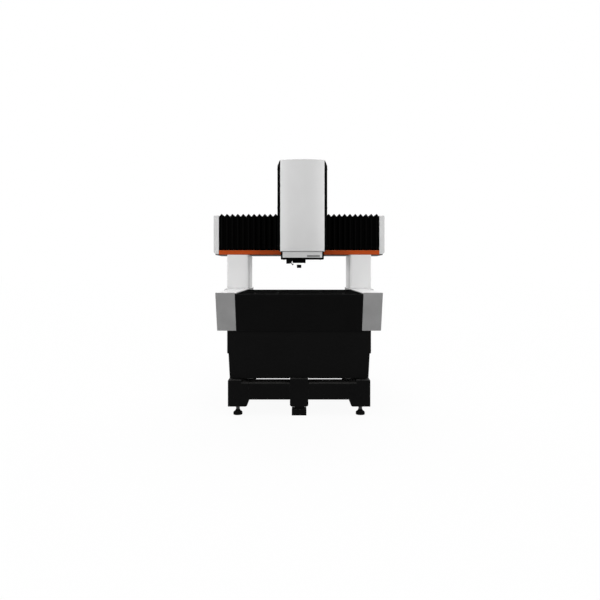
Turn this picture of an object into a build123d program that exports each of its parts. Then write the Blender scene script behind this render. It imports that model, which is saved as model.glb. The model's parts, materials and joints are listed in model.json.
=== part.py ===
"""A moving-bridge coordinate measuring machine with an optical head and a touch probe.

Millimetres. X runs across the machine, Y from the operator's side to the rear, Z up from the floor.
The origin is on the floor, in the middle of the machine.
"""

import os
from math import sqrt

from build123d import *

# Heights that stack up from the floor
foot_height = 66.0
leg_height = 177.0
isolator_height = 10.0
bed_height = 323.0
guide_height = 254.0
strip_thickness = 6.0
column_gap = 2.0
column_height = 280.0
beam_height = 307.0
bellows_rise = 36.0
head_lift = 18.0  # underside of the head above the tops of the columns
head_height = 732.0
shroud_drop = 61.0
objective_reach = 69.0

# Widths that stack up from the middle plane
guide_inner_x = 425.0
guide_width = 129.0
table_gap = 9.0
bed_shoulder = 53.0
stand_margin = 2.0
beam_overhang = 69.0
end_cap_width = 44.0

# Depths, from the front tips of the guide beams to their rear tips
base_depth = 1480.0
guide_rake = 83.0
bed_setback = 27.0  # front of the bed behind the lower end of the rake
stand_setback = 72.0
table_depth = 806.0
bridge_setback = 500.0  # front of the bridge ahead of the rear tips
column_depth = 298.0
beam_setback = 90.0
head_depth = 260.0

# Stand and feet
stand_rail_height = 109.0
stand_rail_depth = 140.0
stand_rail_drop = 21.0  # tops of the rails below the tops of the legs
stand_tube_wall = 8.0
side_rail_width = 110.0
leg_width = 138.0
leg_taper = 9.0
leg_pad_width = 90.0
leg_corner_radius = 15.0
post_half_width = 62.0
foot_inset_x = 61.0
foot_inset_y = 65.0
foot_pad_radius = 31.0
foot_pad_rim = 16.0
foot_pad_bevel = 4.0
foot_pad_height = 36.0
foot_neck_wall = 3.0
foot_neck_height = 6.0
foot_stud_radius = 12.0
foot_stud_grip = 60.0
foot_stud_clearance = 0.3
foot_stud_end_gap = 4.0
foot_socket_floor = 14.0
lock_nut_across = 36.0
lock_nut_height = 14.0
centre_foot_width = 100.0
centre_foot_depth = 80.0
centre_foot_height = 41.0
centre_foot_bevel = 3.0
centre_neck_width = 64.0
centre_neck_depth = 50.0
isolator_radius = 34.0
isolator_waist = 31.0
isolator_rim = 3.0
isolator_edge_gap = 6.0

# Bed, table and guides
bed_taper = 7.0
skirt_height = 158.0
skirt_thickness = 12.0
table_thickness = 150.0
table_edge_chamfer = 3.0
table_pad_height = 10.0
table_pad_radius = 45.0
table_pad_inset = 140.0
insert_radius = 9.0
insert_bore_radius = 4.25
insert_length = 25.0
insert_margin_x = 116.0
insert_margin_y = 63.0
guide_lip = 12.0  # lip at each end of a guide beam, level with its strip
strip_bevel = 1.5
sheet = 5.0
apron_lip = 24.0
apron_nose = 4.0
panel_band_height = 61.0
panel_band_inset = 14.0
panel_foot_depth = 8.0
deck_drop = 30.0
deck_gap = 4.0

# Rails, bearing blocks, motors and scales, the same on all three axes
rail_width = 20.0
rail_height = 16.0
rail_waist = 3.0
block_length = 70.0
block_width = 60.0
block_top = 28.0  # height of a bearing block's top above the face its rail is on
block_foot = 5.0
rail_gap = 0.5
magnet_thickness = 8.0
track_width = 60.0
side_track_width = 30.0
track_gap = 4.0
coil_half_length = 90.0
coil_inset = 2.0
air_gap = 1.0
scale_thickness = 2.0
scale_width = 12.0
scale_gap = 2.0
read_head_half_length = 20.0

# Bridge
y_rail_drop = 62.0
y_rail_front_gap = 140.0
y_rail_rear_gap = 50.0
y_block_inset = 12.0
arm_thickness = 23.0
arm_height = 156.0
arm_shelf_gap = 6.0
arm_shelf_drop = 10.0
column_overhang = 7.0
column_wall = 14.0
column_inner_radius = 30.0
column_edge_radius = 8.0
drive_cover_thickness = 23.0
drive_cover_wall = 4.0
drive_cover_drop = 5.0
drive_cover_inset = 6.0
drive_cover_corner = 10.0
drive_cover_bevel = 4.0
beam_wall = 16.0
end_cap_height = 325.0
end_cap_lift = 4.0
end_cap_wall = 5.0
end_cap_chamfer = 16.0
end_cap_round = 8.0
rear_cover_depth = 74.0
stripe_gap = 1.0
stripe_height = 36.0
stripe_thickness = 6.0
stripe_bevel = 1.5
valance_drop = 4.0
bellows_pleat_depth = 20.0
bellows_pleat_pitch = 44.0
bellows_wall = 3.0
bellows_floor_gap = 2.0
bellows_rear_gap = 8.0
x_rail_low = 75.0
x_rail_top_margin = 45.0
x_rail_end_gap = 20.0
x_block_half_span = 120.0

# Cross carriage and head
head_x = 26.0
head_half_width = 200.0
head_curve_radius = 500.0
side_panel_width = 23.5
cover_wall = 3.0
cover_return = 48.0
cover_edge_round = 3.0
panel_setback = 54.0
panel_clearance = 2.0
panel_top_cut = (18.0, 44.0)
panel_bottom_cut = (22.0, 24.0)
panel_wall = 4.0
hood_gap = 5.0
carriage_thickness = 22.0
carriage_bottom_gap = 10.0
carriage_roof_gap = 6.0
flange_thickness = 4.0
backplate_thickness = 42.0
backplate_half_width = 150.0
backplate_top_gap = 30.0
pocket_margin = 25.0
pocket_depth = 24.0
z_rail_half_gap = 75.0
z_rail_end_gap = 5.0
z_track_end_gap = 25.0
z_slide_thickness = 24.0
z_slide_half_width = 100.0
z_slide_height = 515.0
z_block_low = 295.0
z_block_span = 170.0
z_coil_overhang = 30.0
cylinder_gap = 5.0
cylinder_radius = 16.0
cylinder_bore = 13.0
cylinder_block = 36.0
cylinder_end = 20.0
cylinder_length = 268.0
cylinder_rise = 264.0
piston_clearance = 0.3
rod_radius = 6.0
rod_length = 255.0
piston_height = 12.0
lug_gap = 75.0
lug_thickness = 20.0
lug_clearance = 2.0

# Optics and probe
optical_offset_x = 26.0
optical_offset_y = 134.0
shroud_height = 250.0
shroud_floor = 12.0
shroud_wall = 4.0
shroud_clearance = 3.0
shroud_side_gap = 1.5
face_margin = 14.0
ring_radius = 53.5
ring_bore = 24.0
ring_height = 25.0
ring_round = 8.0
cone_height = 17.0
cone_top_radius = 50.0
cone_foot_radius = 24.0
cone_wall = 2.0
cone_rim = 6.0
objective_tip_radius = 18.5
objective_tip_length = 28.0
objective_edge = 3.0
objective_radius = 21.0
objective_flange_radius = 30.0
objective_flange_height = 25.0
objective_bore = 12.0
lens_thickness = 5.0
lens_recess = 3.0
lens_bevel = 1.0
fit_clearance = 0.1
tube_radius = 32.0
tube_bore = 26.0
tube_length = 368.0
clamp_inset = 60.0
clamp_height = 26.0
clamp_half_width = 46.0
camera_half_width = 36.0
camera_height = 90.0
fin_count = 5
fin_start = 20.0
fin_pitch = 12.0
fin_gap = 4.0
fin_depth = 4.0
probe_gap = 4.5
probe_offset_y = 44.0
probe_block_size = (45.0, 44.0, 35.0)
probe_chamfer = 14.0
stylus_seat_radius = 5.5
stylus_seat_thickness = 3.0
stylus_socket_depth = 3.0
stylus_socket_gap = 0.3
stylus_pivot_depth = 5.0
stylus_stem_radius = 3.5
stylus_tip_radius = 6.0
stylus_reach = 24.0

# How far a cutting block passes the face that it cuts
cut_margin = 1.0

# Levels
leg_bottom_z = foot_height
stand_top_z = leg_bottom_z + leg_height
rail_top_z = stand_top_z - stand_rail_drop
bed_bottom_z = stand_top_z + isolator_height
guide_bottom_z = bed_bottom_z + bed_height
table_top_z = guide_bottom_z + guide_height
strip_top_z = table_top_z + strip_thickness
skirt_bottom_z = guide_bottom_z - skirt_height
plinth_top_z = table_top_z - table_thickness - table_pad_height
column_bottom_z = strip_top_z + column_gap
column_top_z = column_bottom_z + column_height
arm_top_z = column_bottom_z + column_wall / 2
y_rail_z = table_top_z - y_rail_drop
beam_top_z = column_top_z + beam_height
x_rail_high = beam_height - x_rail_top_margin
x_track_z = column_top_z + (x_rail_low + x_rail_high) / 2
x_scale_z = column_top_z + x_rail_high + block_width / 2 + scale_gap
stripe_top_z = column_top_z + stripe_gap + stripe_height
bellows_bottom_z = stripe_top_z + bellows_floor_gap
bellows_top_z = beam_top_z + bellows_rise
carriage_bottom_z = stripe_top_z + carriage_bottom_gap
head_bottom_z = column_top_z + head_lift
head_top_z = head_bottom_z + head_height
backplate_top_z = head_top_z - backplate_top_gap
cylinder_bottom_z = head_bottom_z + cylinder_rise
lug_top_z = cylinder_bottom_z - lug_gap
shroud_bottom_z = head_bottom_z - shroud_drop
shroud_top_z = shroud_bottom_z + shroud_height
ring_bottom_z = shroud_bottom_z - ring_height
floor_top_z = shroud_bottom_z + shroud_floor
objective_tip_z = shroud_bottom_z - objective_reach
objective_top_z = floor_top_z + objective_flange_height
tube_top_z = objective_top_z + tube_length

# Planes across the machine
guide_outer_x = guide_inner_x + guide_width
table_half_width = guide_inner_x - table_gap
bed_half_width = guide_inner_x + bed_shoulder
stand_half_width = bed_half_width + stand_margin
foot_x = stand_half_width - foot_inset_x
arm_inner_x = guide_outer_x + block_top
column_outer_x = arm_inner_x + arm_thickness
column_inner_x = guide_inner_x - column_overhang
beam_half_length = column_outer_x + beam_overhang
cover_half_width = head_half_width - side_panel_width
shroud_half_width = cover_half_width - cover_wall - shroud_side_gap
face_half_width = shroud_half_width - face_margin
cylinder_x = head_x + z_rail_half_gap + block_width / 2 + cylinder_gap + cylinder_block / 2
optical_x = head_x - optical_offset_x
probe_right_x = optical_x - ring_radius - probe_gap

# Planes from front to rear
front_y = -base_depth / 2
rear_y = base_depth / 2
rake_foot_y = front_y + guide_rake
bed_front_y = rake_foot_y + bed_setback
bed_rear_y = -bed_front_y
stand_front_y = front_y + stand_setback
stand_rear_y = -stand_front_y
foot_y = stand_rear_y - foot_inset_y
table_front_y = front_y + apron_lip
table_rear_y = table_front_y + table_depth
bridge_front_y = rear_y - bridge_setback
column_rear_y = bridge_front_y + column_depth
arm_middle_y = (bridge_front_y + column_rear_y) / 2
y_rail_front_y = front_y + y_rail_front_gap
y_rail_rear_y = rear_y - y_rail_rear_gap
beam_front_y = bridge_front_y + beam_setback
bellows_rear_y = column_rear_y - bellows_rear_gap
rear_cover_y = column_rear_y + rear_cover_depth
carriage_rear_y = beam_front_y - block_top
carriage_front_y = carriage_rear_y - carriage_thickness
backplate_front_y = carriage_front_y - backplate_thickness
cylinder_y = backplate_front_y - cylinder_block / 2
slide_rear_y = backplate_front_y - block_top
slide_front_y = slide_rear_y - z_slide_thickness
panel_rear_y = bridge_front_y - panel_clearance
head_front_y = bridge_front_y - head_depth
panel_front_y = head_front_y + panel_setback
hood_rear_y = carriage_front_y
curve_centre_y = head_front_y + head_curve_radius
optical_y = bridge_front_y - optical_offset_y
probe_y = optical_y - probe_offset_y


def box(x, y, z):
    """A block between the two ends given for each axis."""
    size = [high - low for low, high in (x, y, z)]
    middle = [(high + low) / 2 for low, high in (x, y, z)]
    return Pos(*middle) * Box(*size)


def rod(x, y, z, radius):
    """An upright cylinder on (x, y) between the two heights in z."""
    return Pos(x, y, (z[0] + z[1]) / 2) * Cylinder(radius, z[1] - z[0])


def turned(points, x=0.0, y=0.0):
    """A solid turned about an upright axis on (x, y) from (radius, height) points."""
    outline = Plane.XZ * make_face(Polyline(*points, close=True))
    return Pos(x, y, 0) * revolve(outline, Axis.Z)


def along_x(points, x):
    """A solid with a (y, z) outline, between the two ends in x."""
    outline = Plane.YZ * make_face(Polyline(*points, close=True))
    return Pos(x[0], 0, 0) * extrude(outline, x[1] - x[0])


def along_y(points, y):
    """A solid with an (x, z) outline, between the two ends in y."""
    outline = Plane.XZ * make_face(Polyline(*points, close=True))
    return Pos(0, y[0], 0) * extrude(outline, y[0] - y[1])


def both_sides(shape):
    """A piece and its mirror image across the machine's middle plane."""
    return [shape, mirror(shape, about=Plane.YZ)]


def all_corners(shape):
    """A piece at one corner of the stand, copied to all four."""
    return [copy for side in both_sides(shape) for copy in (side, mirror(side, about=Plane.XZ))]


def save(name, *shapes):
    """Write the solids of one piece, or of a set of like pieces, as one node."""
    solids = [solid for shape in shapes for solid in shape.solids()]
    export_step(Compound(label=name, children=solids), f"parts/{name}.step")


def on_face(origin, up, along):
    """A place on a face: local Y points out of the face and local Z runs along it."""
    return Plane(origin=origin, x_dir=Vector(*up).cross(Vector(*along)), z_dir=along)


def rail(length):
    """A profile rail with a waist, standing on the XZ plane and running along Z from 0."""
    half = rail_width / 2
    waist = half - rail_waist
    right = [
        (half, 0), (half, rail_height * 3 / 8), (waist, rail_height / 2),
        (waist, rail_height * 9 / 16), (half, rail_height * 3 / 4), (half, rail_height),
    ]
    left = [(-x, y) for x, y in reversed(right)]
    return extrude(make_face(Polyline(*right, *left, close=True)), length)


def bearing_block():
    """A bearing block that straddles a rail, centred on its place along the rail."""
    half = block_width / 2
    inner = rail_width / 2 + rail_gap
    roof = rail_height + rail_gap
    outline = [
        (-half, block_foot), (-inner, block_foot), (-inner, roof), (inner, roof),
        (inner, block_foot), (half, block_foot), (half, block_top), (-half, block_top),
    ]
    return Pos(0, 0, -block_length / 2) * extrude(
        make_face(Polyline(*outline, close=True)), block_length
    )


def foot_pads():
    """Four round foot pads with a socket for the stud."""
    socket = foot_stud_radius + foot_stud_clearance
    neck = socket + foot_neck_wall
    profile = [
        (0, 0), (foot_pad_radius, 0), (foot_pad_radius, foot_pad_rim),
        (foot_pad_radius - foot_pad_bevel, foot_pad_rim + foot_pad_bevel),
        (neck, foot_pad_height - foot_neck_height), (neck, foot_pad_height),
        (socket, foot_pad_height), (socket, foot_socket_floor), (0, foot_socket_floor),
    ]
    return all_corners(turned(profile, foot_x, foot_y))


def foot_studs():
    """Four levelling studs with their lock nuts under the legs."""
    stud = rod(foot_x, foot_y, (foot_socket_floor, leg_bottom_z + foot_stud_grip), foot_stud_radius)
    nut_sketch = RegularPolygon(lock_nut_across / 2, 6, major_radius=False) - Circle(
        foot_stud_radius + foot_stud_clearance
    )
    nut = Pos(foot_x, foot_y, leg_bottom_z - lock_nut_height) * extrude(nut_sketch, lock_nut_height)
    return all_corners(stud) + all_corners(nut)


def centre_feet():
    """Two square feet with a slimmer neck, under the centre posts."""
    half = centre_foot_width / 2
    neck_half = centre_neck_width / 2
    pad = box(
        (-half, half), (foot_y - centre_foot_depth / 2, foot_y + centre_foot_depth / 2),
        (0, centre_foot_height),
    )
    pad = chamfer(pad.faces().sort_by(Axis.Z)[-1].edges(), centre_foot_bevel)
    foot = pad + box(
        (-neck_half, neck_half), (foot_y - centre_neck_depth / 2, foot_y + centre_neck_depth / 2),
        (centre_foot_height, leg_bottom_z),
    )
    return [foot, mirror(foot, about=Plane.XZ)]


def stand_legs():
    """Four corner legs with a raised pad and a raked inner edge, and two centre posts."""
    inner = stand_half_width - leg_width
    pad = stand_half_width - leg_pad_width
    rail_bottom = rail_top_z - stand_rail_height
    depth = (stand_front_y, stand_front_y + stand_rail_depth)
    outline = [
        (stand_half_width, leg_bottom_z), (stand_half_width, stand_top_z), (pad, stand_top_z),
        (pad, rail_top_z), (inner, rail_top_z), (inner, rail_bottom),
        (inner + leg_taper, leg_bottom_z),
    ]
    leg = along_y(outline, depth)
    corner = leg.edges().filter_by(Axis.Y).group_by(Axis.Z)[0].sort_by(Axis.X)[0]
    leg = fillet(corner, leg_corner_radius)
    leg -= rod(
        foot_x, -foot_y, (leg_bottom_z, leg_bottom_z + foot_stud_grip + foot_stud_end_gap),
        foot_stud_radius + foot_stud_clearance,
    )
    post = box((-post_half_width, post_half_width), depth, (leg_bottom_z, bed_bottom_z))
    post = fillet(post.edges().filter_by(Axis.Y).group_by(Axis.Z)[0], leg_corner_radius)
    return all_corners(leg) + [post, mirror(post, about=Plane.XZ)]


def tube(x, y, z, axis):
    """A rectangular tube, open along one axis."""
    inner = [(low + stand_tube_wall, high - stand_tube_wall) for low, high in (x, y, z)]
    inner[axis] = (x, y, z)[axis]
    return box(x, y, z) - box(*inner)


def stand_rails():
    """Rectangular tubes between the legs: two short ones at each end and one along each side."""
    z = (rail_top_z - stand_rail_height, rail_top_z)
    end = tube(
        (post_half_width, stand_half_width - leg_width),
        (stand_front_y, stand_front_y + stand_rail_depth), z, 0,
    )
    side_end = stand_rear_y - stand_rail_depth
    side = tube(
        (stand_half_width - side_rail_width, stand_half_width), (-side_end, side_end), z, 1
    )
    return all_corners(end) + both_sides(side)


def isolators():
    """Four waisted rubber mounts between the legs and the bed."""
    profile = [
        (0, stand_top_z), (isolator_radius, stand_top_z),
        (isolator_radius, stand_top_z + isolator_rim),
        (isolator_waist, (stand_top_z + bed_bottom_z) / 2),
        (isolator_radius, bed_bottom_z - isolator_rim), (isolator_radius, bed_bottom_z),
        (0, bed_bottom_z),
    ]
    x = bed_half_width - bed_taper - isolator_radius - isolator_edge_gap
    return all_corners(turned(profile, x, foot_y))


def machine_bed():
    """A tapered mineral-cast bed with a plinth and three pads for the table."""
    outline = [
        (bed_half_width - bed_taper, bed_bottom_z), (bed_half_width, skirt_bottom_z),
        (bed_half_width, guide_bottom_z), (guide_inner_x, guide_bottom_z),
        (guide_inner_x, plinth_top_z),
    ]
    outline += [(-x, z) for x, z in reversed(outline)]
    bed = along_y(outline, (bed_front_y, bed_rear_y))
    for x, y in table_pad_places():
        bed += rod(x, y, (plinth_top_z, plinth_top_z + table_pad_height), table_pad_radius)
    return bed


def table_pad_places():
    """Three points that carry the table, so that it can't rock."""
    x = table_half_width - table_pad_inset
    front = table_front_y + table_pad_inset
    return [(-x, front), (x, front), (0, table_rear_y - table_pad_inset)]


def insert_places():
    """Eight inserts, in an outer and an inner rectangle about the table's middle."""
    middle = table_front_y + table_depth / 2
    half_x = table_half_width - insert_margin_x
    half_y = table_depth / 2 - insert_margin_y
    signs = [(-1, -1), (1, -1), (-1, 1), (1, 1)]
    outer = [(sx * half_x, middle + sy * half_y) for sx, sy in signs]
    inner = [(sx * half_x / 2, middle + sy * half_y / 2) for sx, sy in signs]
    return outer + inner


def stone_table():
    """A flat stone slab with bevelled top edges, an undercut front and sockets for the inserts."""
    bottom = table_top_z - table_thickness
    undercut = guide_rake / guide_height * table_thickness
    outline = [
        (table_front_y, table_top_z), (table_rear_y, table_top_z), (table_rear_y, bottom),
        (table_front_y + undercut, bottom),
    ]
    slab = along_x(outline, (-table_half_width, table_half_width))
    slab = chamfer(slab.faces().sort_by(Axis.Z)[-1].edges(), table_edge_chamfer)
    for x, y in insert_places():
        slab -= rod(x, y, (table_top_z - insert_length, table_top_z), insert_radius)
    return slab


def table_inserts():
    """Flush bushes that take the clamping screws of a fixture."""
    bush = Cylinder(insert_radius, insert_length) - Cylinder(insert_bore_radius, insert_length)
    z = table_top_z - insert_length / 2
    return [Pos(x, y, z) * bush for x, y in insert_places()]


def front_apron():
    """The raked sheet between the guide beams, with a lip that reaches the table's edge."""
    top = table_top_z - table_edge_chamfer
    slope = guide_rake / guide_height
    nose = front_y + slope * table_edge_chamfer
    inner = top - sheet
    outline = [
        (table_front_y, top), (nose + apron_nose, top), (nose + slope * apron_nose, top - apron_nose),
        (rake_foot_y, guide_bottom_z), (rake_foot_y + sheet, guide_bottom_z),
        (nose + slope * sheet + sheet, inner), (table_front_y, inner),
    ]
    return along_x(outline, (-guide_inner_x, guide_inner_x))


def front_panel():
    """The lower front panel: a pan with a band along its top that leans back."""
    band_z = guide_bottom_z - panel_band_height
    top_y = rake_foot_y + panel_band_inset
    base_y = bed_front_y - panel_foot_depth
    outline = [
        (bed_front_y, guide_bottom_z), (top_y, guide_bottom_z), (rake_foot_y, band_z),
        (base_y, bed_bottom_z), (bed_front_y, bed_bottom_z), (bed_front_y, bed_bottom_z + sheet),
        (base_y + sheet, bed_bottom_z + sheet), (rake_foot_y + sheet, band_z),
        (top_y + sheet, guide_bottom_z - sheet), (bed_front_y, guide_bottom_z - sheet),
    ]
    panel = along_x(outline, (-bed_half_width, bed_half_width))
    taper = [
        (bed_half_width - bed_taper, bed_bottom_z), (bed_half_width, skirt_bottom_z),
        (bed_half_width, guide_bottom_z),
    ]
    taper += [(-x, z) for x, z in reversed(taper)]
    return panel & along_y(taper, (front_y, bed_front_y))


def rear_panel():
    """The rear panel and the deck behind the table, folded from one sheet."""
    deck_z = table_top_z - deck_drop
    deck_y = table_rear_y + deck_gap
    back_y = bed_rear_y + sheet
    outline = [
        (deck_y, deck_z), (back_y, deck_z), (back_y, guide_bottom_z), (bed_rear_y, guide_bottom_z),
        (bed_rear_y, deck_z - sheet), (deck_y, deck_z - sheet),
    ]
    upper = along_x(outline, (-guide_inner_x, guide_inner_x))
    half = bed_half_width - bed_taper
    return upper + box((-half, half), (bed_rear_y, back_y), (bed_bottom_z, guide_bottom_z))


def side_skirts():
    """Thin covers on both sides of the bed, with bevelled ends."""
    skirt = box(
        (bed_half_width, bed_half_width + skirt_thickness), (bed_front_y, bed_rear_y),
        (skirt_bottom_z, guide_bottom_z),
    )
    outer = skirt.faces().sort_by(Axis.X)[-1]
    return both_sides(chamfer(outer.edges(), skirt_thickness / 3))


def guide_beams():
    """Two mineral-cast beams along the table's sides, with raked ends and a lip at each end."""
    front, rear = front_y + guide_lip, rear_y - guide_lip
    outline = [
        (front_y, table_top_z), (front_y, strip_top_z), (front, strip_top_z), (front, table_top_z),
        (rear, table_top_z), (rear, strip_top_z), (rear_y, strip_top_z), (rear_y, table_top_z),
        (rear_y - guide_rake, guide_bottom_z), (rake_foot_y, guide_bottom_z),
    ]
    return both_sides(along_x(outline, (guide_inner_x, guide_outer_x)))


def guide_strips():
    """Flat white strips on the guide beams, between their lips."""
    y = (front_y + guide_lip, rear_y - guide_lip)
    strip = box((guide_inner_x, guide_outer_x), y, (table_top_z, strip_top_z))
    return both_sides(chamfer(strip.faces().sort_by(Axis.Z)[-1].edges(), strip_bevel))


def y_rails():
    """A rail along the outer side of each guide beam."""
    place = on_face((guide_outer_x, y_rail_front_y, y_rail_z), (1, 0, 0), (0, 1, 0))
    return both_sides(place * rail(y_rail_rear_y - y_rail_front_y))


def y_blocks():
    """Two bearing blocks on each outer rail."""
    inset = block_length / 2 + y_block_inset
    blocks = []
    for y in (bridge_front_y + inset, column_rear_y - inset):
        place = on_face((guide_outer_x, y, y_rail_z), (1, 0, 0), (0, 1, 0))
        blocks += both_sides(place * bearing_block())
    return blocks


def y_track_heights():
    """Lower and upper edge of the side magnet track, under the rail's blocks."""
    top = y_rail_z - block_width / 2 - track_gap
    return top - side_track_width, top


def y_magnet_track():
    """The magnet track of the right-hand guide, under its rail."""
    x = (guide_outer_x, guide_outer_x + magnet_thickness)
    return box(x, (y_rail_front_y, y_rail_rear_y), y_track_heights())


def y_motor_coil():
    """The coil block on the right-hand arm, facing the magnet track."""
    low, high = y_track_heights()
    return box(
        (guide_outer_x + magnet_thickness + air_gap, arm_inner_x),
        (arm_middle_y - coil_half_length, arm_middle_y + coil_half_length),
        (low + coil_inset, high - coil_inset),
    )


def y_scale_heights():
    """Lower and upper edge of the side scale, above the rail's blocks."""
    low = y_rail_z + block_width / 2 + scale_gap
    return low, low + scale_width


def y_scale():
    """The measuring scale on the right-hand guide, above its rail."""
    x = (guide_outer_x, guide_outer_x + scale_thickness)
    return box(x, (y_rail_front_y, y_rail_rear_y), y_scale_heights())


def y_read_head():
    """The read head on the right-hand arm, close to the scale."""
    x = (guide_outer_x + scale_thickness + air_gap, arm_inner_x)
    y = (arm_middle_y - read_head_half_length, arm_middle_y + read_head_half_length)
    return box(x, y, y_scale_heights())


def bearing_arms():
    """Arms that hang from the columns outside the guide beams and carry the bearing blocks."""
    shelf_x = guide_outer_x + arm_shelf_gap
    shelf_z = strip_top_z - arm_shelf_drop
    outline = [
        (column_outer_x, arm_top_z), (column_outer_x, arm_top_z - arm_height),
        (arm_inner_x, arm_top_z - arm_height), (arm_inner_x, shelf_z), (shelf_x, shelf_z),
        (shelf_x, arm_top_z),
    ]
    return both_sides(along_y(outline, (bridge_front_y, column_rear_y)))


def columns():
    """Two hollow columns, open at the top, with a broad round on the inner front edge."""
    width = column_outer_x - column_inner_x
    corner = Vector(column_inner_x, bridge_front_y)
    plan = Pos((column_inner_x + column_outer_x) / 2, arm_middle_y) * Rectangle(width, column_depth)
    plan = fillet(plan.vertices().sort_by_distance(corner)[1:], column_edge_radius)
    plan = fillet(plan.vertices().sort_by_distance(corner)[:1], column_inner_radius)
    column = Pos(0, 0, column_bottom_z) * extrude(plan, column_height)
    column -= box(
        (column_inner_x + column_wall, column_outer_x - column_wall),
        (bridge_front_y + column_wall, column_rear_y - column_wall),
        (arm_top_z + column_wall, column_top_z),
    )
    pocket = box(
        (guide_outer_x + arm_shelf_gap, column_outer_x), (bridge_front_y, column_rear_y),
        (column_bottom_z, arm_top_z),
    )
    return both_sides(column - pocket)


def drive_covers():
    """Shallow covers outside the bearing arms, open towards them, with bevelled rims."""
    top = strip_top_z - drive_cover_drop
    bottom = arm_top_z - arm_height
    wall = drive_cover_wall
    x = (column_outer_x, column_outer_x + drive_cover_thickness)
    y = (bridge_front_y + drive_cover_inset, column_rear_y - drive_cover_inset)
    cover = box(x, y, (bottom, top))
    cover = fillet(cover.edges().filter_by(Axis.X), drive_cover_corner)
    cover = chamfer(cover.faces().sort_by(Axis.X)[-1].edges(), drive_cover_bevel)
    inner = box((x[0], x[1] - wall), (y[0] + wall, y[1] - wall), (bottom + wall, top - wall))
    inner = fillet(inner.edges().filter_by(Axis.X), drive_cover_corner - wall)
    inner = chamfer(inner.faces().sort_by(Axis.X)[-1].edges(), drive_cover_bevel / 2)
    return both_sides(cover - inner)


def beam():
    """The cross beam, a box section open at both ends, with a web halfway up."""
    x = (-beam_half_length, beam_half_length)
    y = (beam_front_y, column_rear_y)
    inner_y = (y[0] + beam_wall, y[1] - beam_wall)
    middle = column_top_z + beam_height / 2
    outer = box(x, y, (column_top_z, beam_top_z))
    inner = box(x, inner_y, (column_top_z + beam_wall, beam_top_z - beam_wall))
    web = box(x, inner_y, (middle - beam_wall / 2, middle + beam_wall / 2))
    return outer - inner + web


def x_rails():
    """Two rails along the front of the beam."""
    half = beam_half_length - x_rail_end_gap
    rails = []
    for height in (x_rail_low, x_rail_high):
        origin = (-half, beam_front_y, column_top_z + height)
        rails.append(on_face(origin, (0, -1, 0), (1, 0, 0)) * rail(2 * half))
    return rails


def x_blocks():
    """Four bearing blocks between the rails and the carriage plate."""
    blocks = []
    for height in (x_rail_low, x_rail_high):
        for side in (-x_block_half_span, x_block_half_span):
            origin = (head_x + side, beam_front_y, column_top_z + height)
            blocks.append(on_face(origin, (0, -1, 0), (1, 0, 0)) * bearing_block())
    return blocks


def x_magnet_track():
    """The magnet track along the beam, halfway between the rails."""
    half = beam_half_length - x_rail_end_gap
    y = (beam_front_y - magnet_thickness, beam_front_y)
    return box((-half, half), y, (x_track_z - track_width / 2, x_track_z + track_width / 2))


def x_motor_coil():
    """The coil block behind the carriage plate."""
    half = track_width / 2 - coil_inset
    return box(
        (head_x - coil_half_length, head_x + coil_half_length),
        (carriage_rear_y, beam_front_y - magnet_thickness - air_gap),
        (x_track_z - half, x_track_z + half),
    )


def x_scale():
    """The measuring scale along the beam, over the upper rail's blocks."""
    half = beam_half_length - x_rail_end_gap
    y = (beam_front_y - scale_thickness, beam_front_y)
    return box((-half, half), y, (x_scale_z, x_scale_z + scale_width))


def x_read_head():
    """The read head behind the carriage plate."""
    return box(
        (head_x - read_head_half_length, head_x + read_head_half_length),
        (carriage_rear_y, beam_front_y - scale_thickness - air_gap),
        (x_scale_z, x_scale_z + scale_width),
    )


def beam_valance():
    """A dark angle under the front of the beam, which carries the stripe."""
    back = bridge_front_y + stripe_thickness
    top = stripe_top_z - valance_drop
    outline = [
        (beam_front_y, column_top_z), (back, column_top_z), (back, top), (back + sheet, top),
        (back + sheet, column_top_z + sheet), (beam_front_y, column_top_z + sheet),
    ]
    return along_x(outline, (-beam_half_length, beam_half_length))


def beam_stripe():
    """The coloured strip along the foot of the beam."""
    stripe = box(
        (-beam_half_length, beam_half_length),
        (bridge_front_y, bridge_front_y + stripe_thickness),
        (stripe_top_z - stripe_height, stripe_top_z),
    )
    front = stripe.faces().sort_by(Axis.Y)[0]
    return chamfer(front.edges().filter_by(Axis.X), stripe_bevel)


def beam_end_caps():
    """Moulded caps that close the ends of the beam and its covers."""
    x = (beam_half_length, beam_half_length + end_cap_width)
    y = (bridge_front_y, rear_cover_y)
    z = (column_top_z + end_cap_lift, column_top_z + end_cap_lift + end_cap_height)
    wall = end_cap_wall
    cap = box(x, y, z)
    low_edge = cap.faces().sort_by(Axis.X)[-1].edges().sort_by(Axis.Z)[0]
    cap = chamfer(low_edge, end_cap_chamfer)
    upper = cap.edges().filter_by(Axis.Y).sort_by(Axis.Z)[-2:].sort_by(Axis.X)[-1]
    cap = fillet(upper, end_cap_round)
    inner_x = x[1] - wall
    inner_round = end_cap_round / 2
    inner = [
        (x[0], z[0] + wall), (inner_x - end_cap_chamfer, z[0] + wall),
        (inner_x, z[0] + wall + end_cap_chamfer), (inner_x, z[1] - wall - inner_round),
        (inner_x - inner_round, z[1] - wall), (x[0], z[1] - wall),
    ]
    return both_sides(cap - along_y(inner, (y[0] + wall, y[1] - wall)))


def beam_rear_cover():
    """A folded sheet cover behind the beam."""
    y = (column_rear_y, rear_cover_y)
    z = (column_top_z, beam_top_z)
    outline = [
        (y[0], z[0]), (y[1], z[0]), (y[1], z[1]), (y[0], z[1]), (y[0], z[1] - sheet),
        (y[1] - sheet, z[1] - sheet), (y[1] - sheet, z[0] + sheet), (y[0], z[0] + sheet),
    ]
    return along_x(outline, (-beam_half_length, beam_half_length))


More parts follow.
